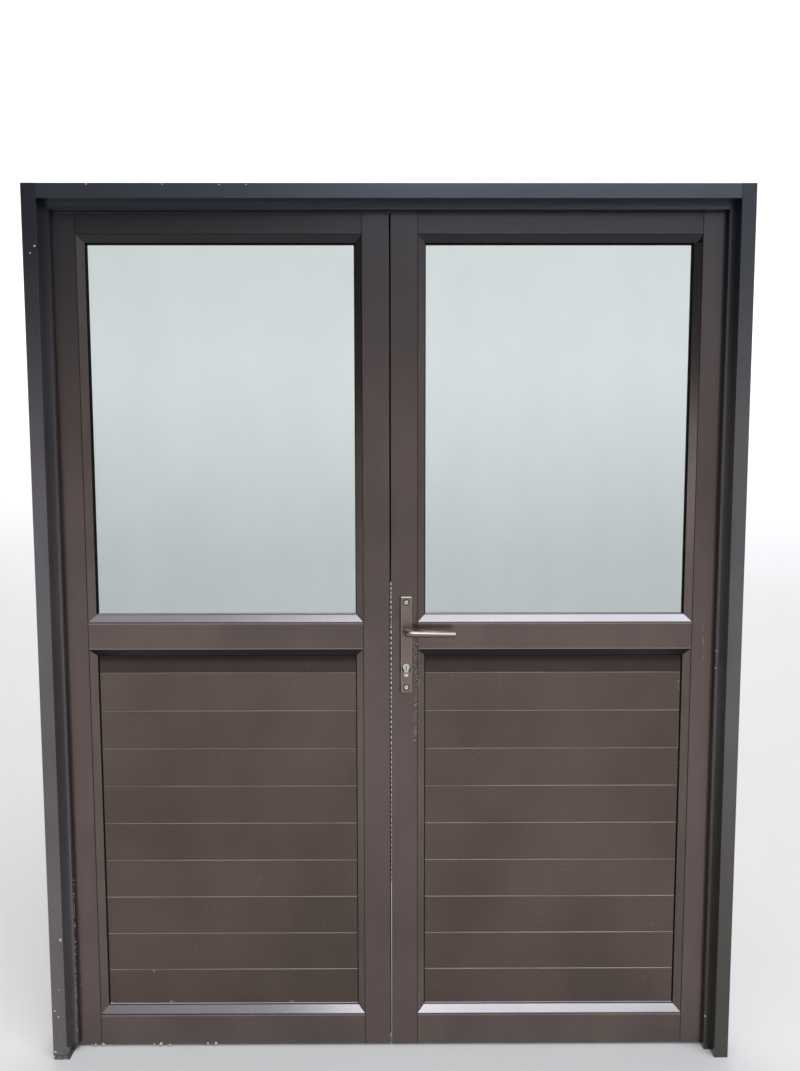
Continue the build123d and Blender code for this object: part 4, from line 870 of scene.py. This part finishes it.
# %% Camera
PHOTO_WIDTH, PHOTO_HEIGHT = 800, 1071
PHOTO_MIDDLE = (PHOTO_WIDTH / 2, PHOTO_HEIGHT / 2)
FOCAL_PIXELS = 803.0
CAMERA_PLACE = (0.0159, -1.9785, 1.4819)
TURN, DOWN, ROLL = radians(-0.230), radians(4.709), radians(-0.06)
camera_data = bpy.data.cameras.new("camera")
camera_data.sensor_width = 36.0
camera_data.lens = camera_data.sensor_width * FOCAL_PIXELS / PHOTO_HEIGHT
camera = bpy.data.objects.new("camera", camera_data)
bpy.context.scene.collection.objects.link(camera)
bpy.context.scene.camera = camera
camera.matrix_world = (Matrix.Translation(CAMERA_PLACE) @ Matrix.Rotation(TURN, 4, "Z")
                       @ Matrix.Rotation(pi / 2 - DOWN, 4, "X") @ Matrix.Rotation(ROLL, 4, "Z"))
view_matrix = camera.matrix_world.copy()


def on_plane(pixel, y):
    """Where the line of sight through a pixel of the photograph meets the plane at depth y."""
    ray = view_matrix.to_3x3() @ Vector(((pixel[0] - PHOTO_MIDDLE[0]) / FOCAL_PIXELS,
                                         (PHOTO_MIDDLE[1] - pixel[1]) / FOCAL_PIXELS, -1))
    eye = view_matrix.translation
    return eye + ray * ((y - eye.y) / ray.y)


print("lens:", round(camera_data.lens, 2))

# %% [markdown]
# ## Mortar, paint and crumbs
#
# The walls round this door were plastered after it was fitted, and it still has the splashes:
# small pale specks on the frame, and crumbs along the foot of the left leaf and of its panel. A
# splash is a low lump with a wavy rim, so it is a stack of rings again. The rim's radius is
# 1 + a sin(2t + p) + b sin(3t + q), with a, b, p and q at random. Rings and keys have also rubbed
# small pale marks into the right leaf. All are placed by the pixels where the photograph shows
# them, on the plane of the face that carries them, and those at the frame's edge are moved in
# until they don't reach past it.


# %% Specks
def speck(centre, size, rng, flat=0.3):
    """A lump of dried mortar on a face that looks towards the street."""
    t = directions(18)
    a, b, p, q = rng.uniform(0.1, 0.35), rng.uniform(0.05, 0.25), *rng.uniform(0, 2 * pi, 2)
    rim = size / 2 * (1 + a * np.sin(2 * t + p) + b * np.sin(3 * t + q))
    rise = size * flat
    points, faces = rings([rim * 0.9, rim, rim * 0.8, rim * 0.42],
                          [-0.1 * MM, 0.1 * rise, 0.7 * rise, rise], len(t))
    return along(points, centre, (0, -1, 0)), faces


def mortar():
    """Lime mortar and old paint: chalky, off-white, with sand grains half a millimetre wide."""
    material, tree, shader, place = finish_of("dried_mortar", Metallic=0.0, Specular_IOR_Level=0.2)
    sand = pattern(tree, place, 1.0, 3.0)
    feed(tree, shader, Base_Color=add(tree, "Mix", {0: sand, 6: colour("#8e877d"), 7: colour("#d2ccc2")}),
         Roughness=add(tree, "MapRange", (sand, 0.2, 0.8, 0.75, 0.95)))
    feed(tree, shader, Normal=add(tree, "Bump", {"Height": sand, "Distance": 0.3 * MM, "Strength": 0.6}))
    return material


def scuff():
    """Coating rubbed through by rings and keys: dull, a little lighter than the bronze round it."""
    material, tree, shader, place = finish_of("rubbed_coating", Metallic=0.3, Specular_IOR_Level=0.3)
    worn = pattern(tree, place, 1.5, 3.0)
    feed(tree, shader, Base_Color=add(tree, "Mix", {0: worn, 6: colour("#8f8478"), 7: colour("#b9aea1")}),
         Roughness=add(tree, "MapRange", (worn, 0.2, 0.8, 0.5, 0.7)))
    return material


def trail(start, end, count, size, spread, y, seed):
    """Marks strewn between two pixels: (u, v, size, plane) with a normal scatter of spread pixels."""
    rng = np.random.default_rng(seed)
    way = rng.uniform(0, 1, count)[:, None]
    places = np.array(start) * (1 - way) + np.array(end) * way + rng.normal(0, 1, (count, 2)) * (spread, 0)
    return [(u, v, size * rng.uniform(0.6, 1.3), y) for u, v in places.tolist()]


mortar_finish, scuff_finish = mortar(), scuff()
jamb_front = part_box("left_jamb")[0].y
leaf_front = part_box("left_hinge_stile")[0].y
slat_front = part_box("left_panel_slats")[0].y
LIP_BEFORE_LEAF = 17 * MM
lip_front = leaf_front - LIP_BEFORE_LEAF
specks = {
    "mortar_specks_frame": ("frame", "bronze_frame", [
        (34.5, 246, 4.5, jamb_front), (30, 253, 3.5, jamb_front), (60.5, 940, 7, jamb_front),
        (59, 990, 3, jamb_front), (55, 1011, 4, jamb_front), (58.5, 1017, 4, jamb_front),
        (54, 1052, 6, jamb_front), (715.5, 668, 3, lip_front), (716.5, 651, 3.5, lip_front),
        (705, 1016, 4.5, lip_front), (86, 183, 3.5, jamb_front), (162, 184, 3, jamb_front),
        (219, 184.5, 3, jamb_front), (246, 184.5, 3, jamb_front),
        *trail((73.6, 880), (77.4, 1036), 70, 1.6, 0.25, lip_front, 3),
        *trail((703.5, 622), (703.2, 660), 12, 1.4, 0.3, lip_front, 4)]),
    "mortar_crumbs_left_leaf": ("left_leaf", "bronze_leaf", [
        (96, 1046, 6, leaf_front), (104, 1046.5, 8, leaf_front), (113, 1046, 5, leaf_front),
        (154, 1045, 6, leaf_front), (161, 1045.5, 9, leaf_front), (170, 1045, 6, leaf_front),
        (208, 1043.5, 6, leaf_front), (216, 1043.5, 8, leaf_front), (154, 971, 3, slat_front),
        (112, 1003, 4, slat_front), (114.5, 1004, 5, slat_front), (118, 1004.5, 4, slat_front),
        (171, 1001.5, 4, slat_front), (173.5, 1001.8, 3, slat_front), (291, 1001, 3, slat_front),
        (293.5, 1001.2, 2.5, slat_front)]),
    "scuffs_right_leaf": ("right_leaf", "bronze_leaf", [
        *trail((415.5, 642), (417, 676), 45, 1.6, 2.0, leaf_front, 5),
        *trail((417.5, 676), (414.5, 742), 70, 1.7, 0.9, leaf_front, 6),
        *trail((678.6, 678), (678.3, 690), 5, 1.6, 0.2, slat_front, 7),
        *trail((678.2, 726), (677.2, 768), 12, 1.5, 0.2, slat_front, 8)]),
}
WIDEST_RIM = 0.85  # a share of a speck's size; the wavy rim reaches 0.8 of it at most
box_low, box_high = cad_box
for number, (name, (body, slot, spots)) in enumerate(specks.items()):
    rng = np.random.default_rng(20 + number)
    parts = []
    for u, v, size, y in spots:
        centre, reach = on_plane((u, v), y), WIDEST_RIM * size * MM
        centre.x = np.clip(centre.x, box_low[0] + reach, box_high[0] - reach)
        centre.z = np.clip(centre.z, box_low[2] + reach, box_high[2] - reach)
        parts.append(speck(centre, size * MM, rng))
    piece(name, parts, body, scuff_finish if name.startswith("scuffs") else mortar_finish)

# %% [markdown]
# ## Floor, backdrop and light
#
# The door stands on a pale studio sheet that curves up behind it, so no edge of the floor shows.
# A satin metal face shows little of its own colour: it mostly mirrors what lies in front of it.
# That sets the light. Wide soft lamps far out in front, between 30 and 60 degrees up, stand for
# the sky between roofs, brighter on the right. The sloped sills of the beads mirror them, and
# they go nearly white. One more lamp hangs overhead, for what looks almost straight up, and two
# weak ones, low on the left and behind, reach what the others leave dark. The flat faces mirror
# the lit floor low down and the room higher up, so the room is a world whose glow fades from the
# horizon upwards, later on the right than on the left. The floor fades into that glow before it
# ends, and the panes mirror no edge.


# %% Stage
def cyclorama(front=-14.0, cove=2.2, wall=5.6, top=9.0, half=16.0):
    """Floor and back wall in one sheet: y, z run (-s, 0), then a quarter circle, then straight up."""
    turn = np.linspace(0, pi / 2, 17)
    y = np.concatenate([[front], cove + (wall - cove) * np.sin(turn), [wall]])
    z = np.concatenate([[0], (wall - cove) * (1 - np.cos(turn)), [top]])
    n = len(y)
    points = np.concatenate([np.stack([np.full(n, side), y, z], axis=-1) for side in (-half, half)])
    k = np.arange(n - 1)
    faces = np.stack([k, k + n, k + n + 1, k + 1], axis=-1)
    mesh = bpy.data.meshes.new("cyclorama")
    mesh.from_pydata(points.tolist(), [], faces.tolist())
    mesh.polygons.foreach_set("use_smooth", np.full(n - 1, True))
    return mesh


stage_finish, tree, shader, place = finish_of("pale_studio_floor", Specular_IOR_Level=0.25,
                                              Emission_Strength=1.0)
cloud = pattern(tree, place, 600, 3.0)
split = add(tree, "SeparateXYZ", {"Vector": place})
# The back wall of the sheet glows, from nothing at the floor to full at 2.6 m up, and lights the door from
# behind as a lamp
glow = add(tree, "MapRange", (split.outputs["Z"], 0.0, 2.6))
feed(tree, shader, Base_Color=add(tree, "Mix", {0: cloud, 6: colour("#cac8c4"), 7: colour("#d0cecb")}),
     Roughness=add(tree, "MapRange", (cloud, 0.2, 0.8, 0.55, 0.7)),
     Emission_Color=add(tree, "Mix", {0: glow, 6: colour("#000000"), 7: colour("#c3c3c3")}),
     Alpha=add(tree, "MapRange", (split.outputs["Y"], -13.0, -6.0)))
studio = bpy.data.objects.new("studio", cyclorama())
studio.data.materials.append(stage_finish)
bpy.context.scene.collection.objects.link(studio)
print("studio faces:", len(studio.data.polygons))


# %% Lamps and world
def softbox(name, azimuth, elevation, distance, width, height, radiance, tint="#ffffff"):
    """A soft rectangle of light that faces the door. Its power is pi x area x radiance.

    Its middle is distance (sin a cos e, -cos a cos e, sin e) from a point 1 m up in the doorway.
    """
    a, e = radians(azimuth), radians(elevation)
    middle = Vector((0, 0, 1.0))
    place = middle + distance * Vector((np.sin(a) * np.cos(e), -np.cos(a) * np.cos(e), np.sin(e)))
    data = bpy.data.lights.new(name, "AREA")
    data.shape = "RECTANGLE"
    data.size, data.size_y = width, height
    data.energy = pi * width * height * radiance
    data.color = colour(tint)[:3]
    lamp = bpy.data.objects.new(name, data)
    bpy.context.scene.collection.objects.link(lamp)
    lamp.location = place
    lamp.rotation_euler = (middle - place).to_track_quat("-Z", "Y").to_euler()
    lamp.visible_camera = False


softbox("sky_right", 28, 45, 26.0, 28.0, 16.0, 4.6, "#eef3ff")
softbox("sky_left", -26, 44, 26.0, 24.0, 15.0, 1.2, "#eef3ff")
softbox("overhead", 0, 86, 12.0, 7.0, 9.0, 3.4)
softbox("low_left", -50, 2, 8.0, 5.0, 2.0, 0.9, "#f6f7ff")
softbox("rear", 180, 40, 4.6, 3.0, 2.0, 1.2)

world = bpy.data.worlds.new("room")
bpy.context.scene.world = world
world.use_nodes = True
tree = world.node_tree
toward = add(tree, "SeparateXYZ", {"Vector": add(tree, "TexCoord").outputs["Generated"]})
lean = add(tree, "Math", (toward.outputs["Z"],
                          add(tree, "Math", (toward.outputs["X"], 0.35), operation="MULTIPLY")),
           operation="SUBTRACT")
background = tree.nodes["Background"]
glow = add(tree, "MapRange", (lean, 0.04, 0.42, 0.62, 0.05))
feed(tree, background, Color=colour("#eef1f8"), Strength=glow)

bpy.context.scene.view_settings.view_transform = "Standard"
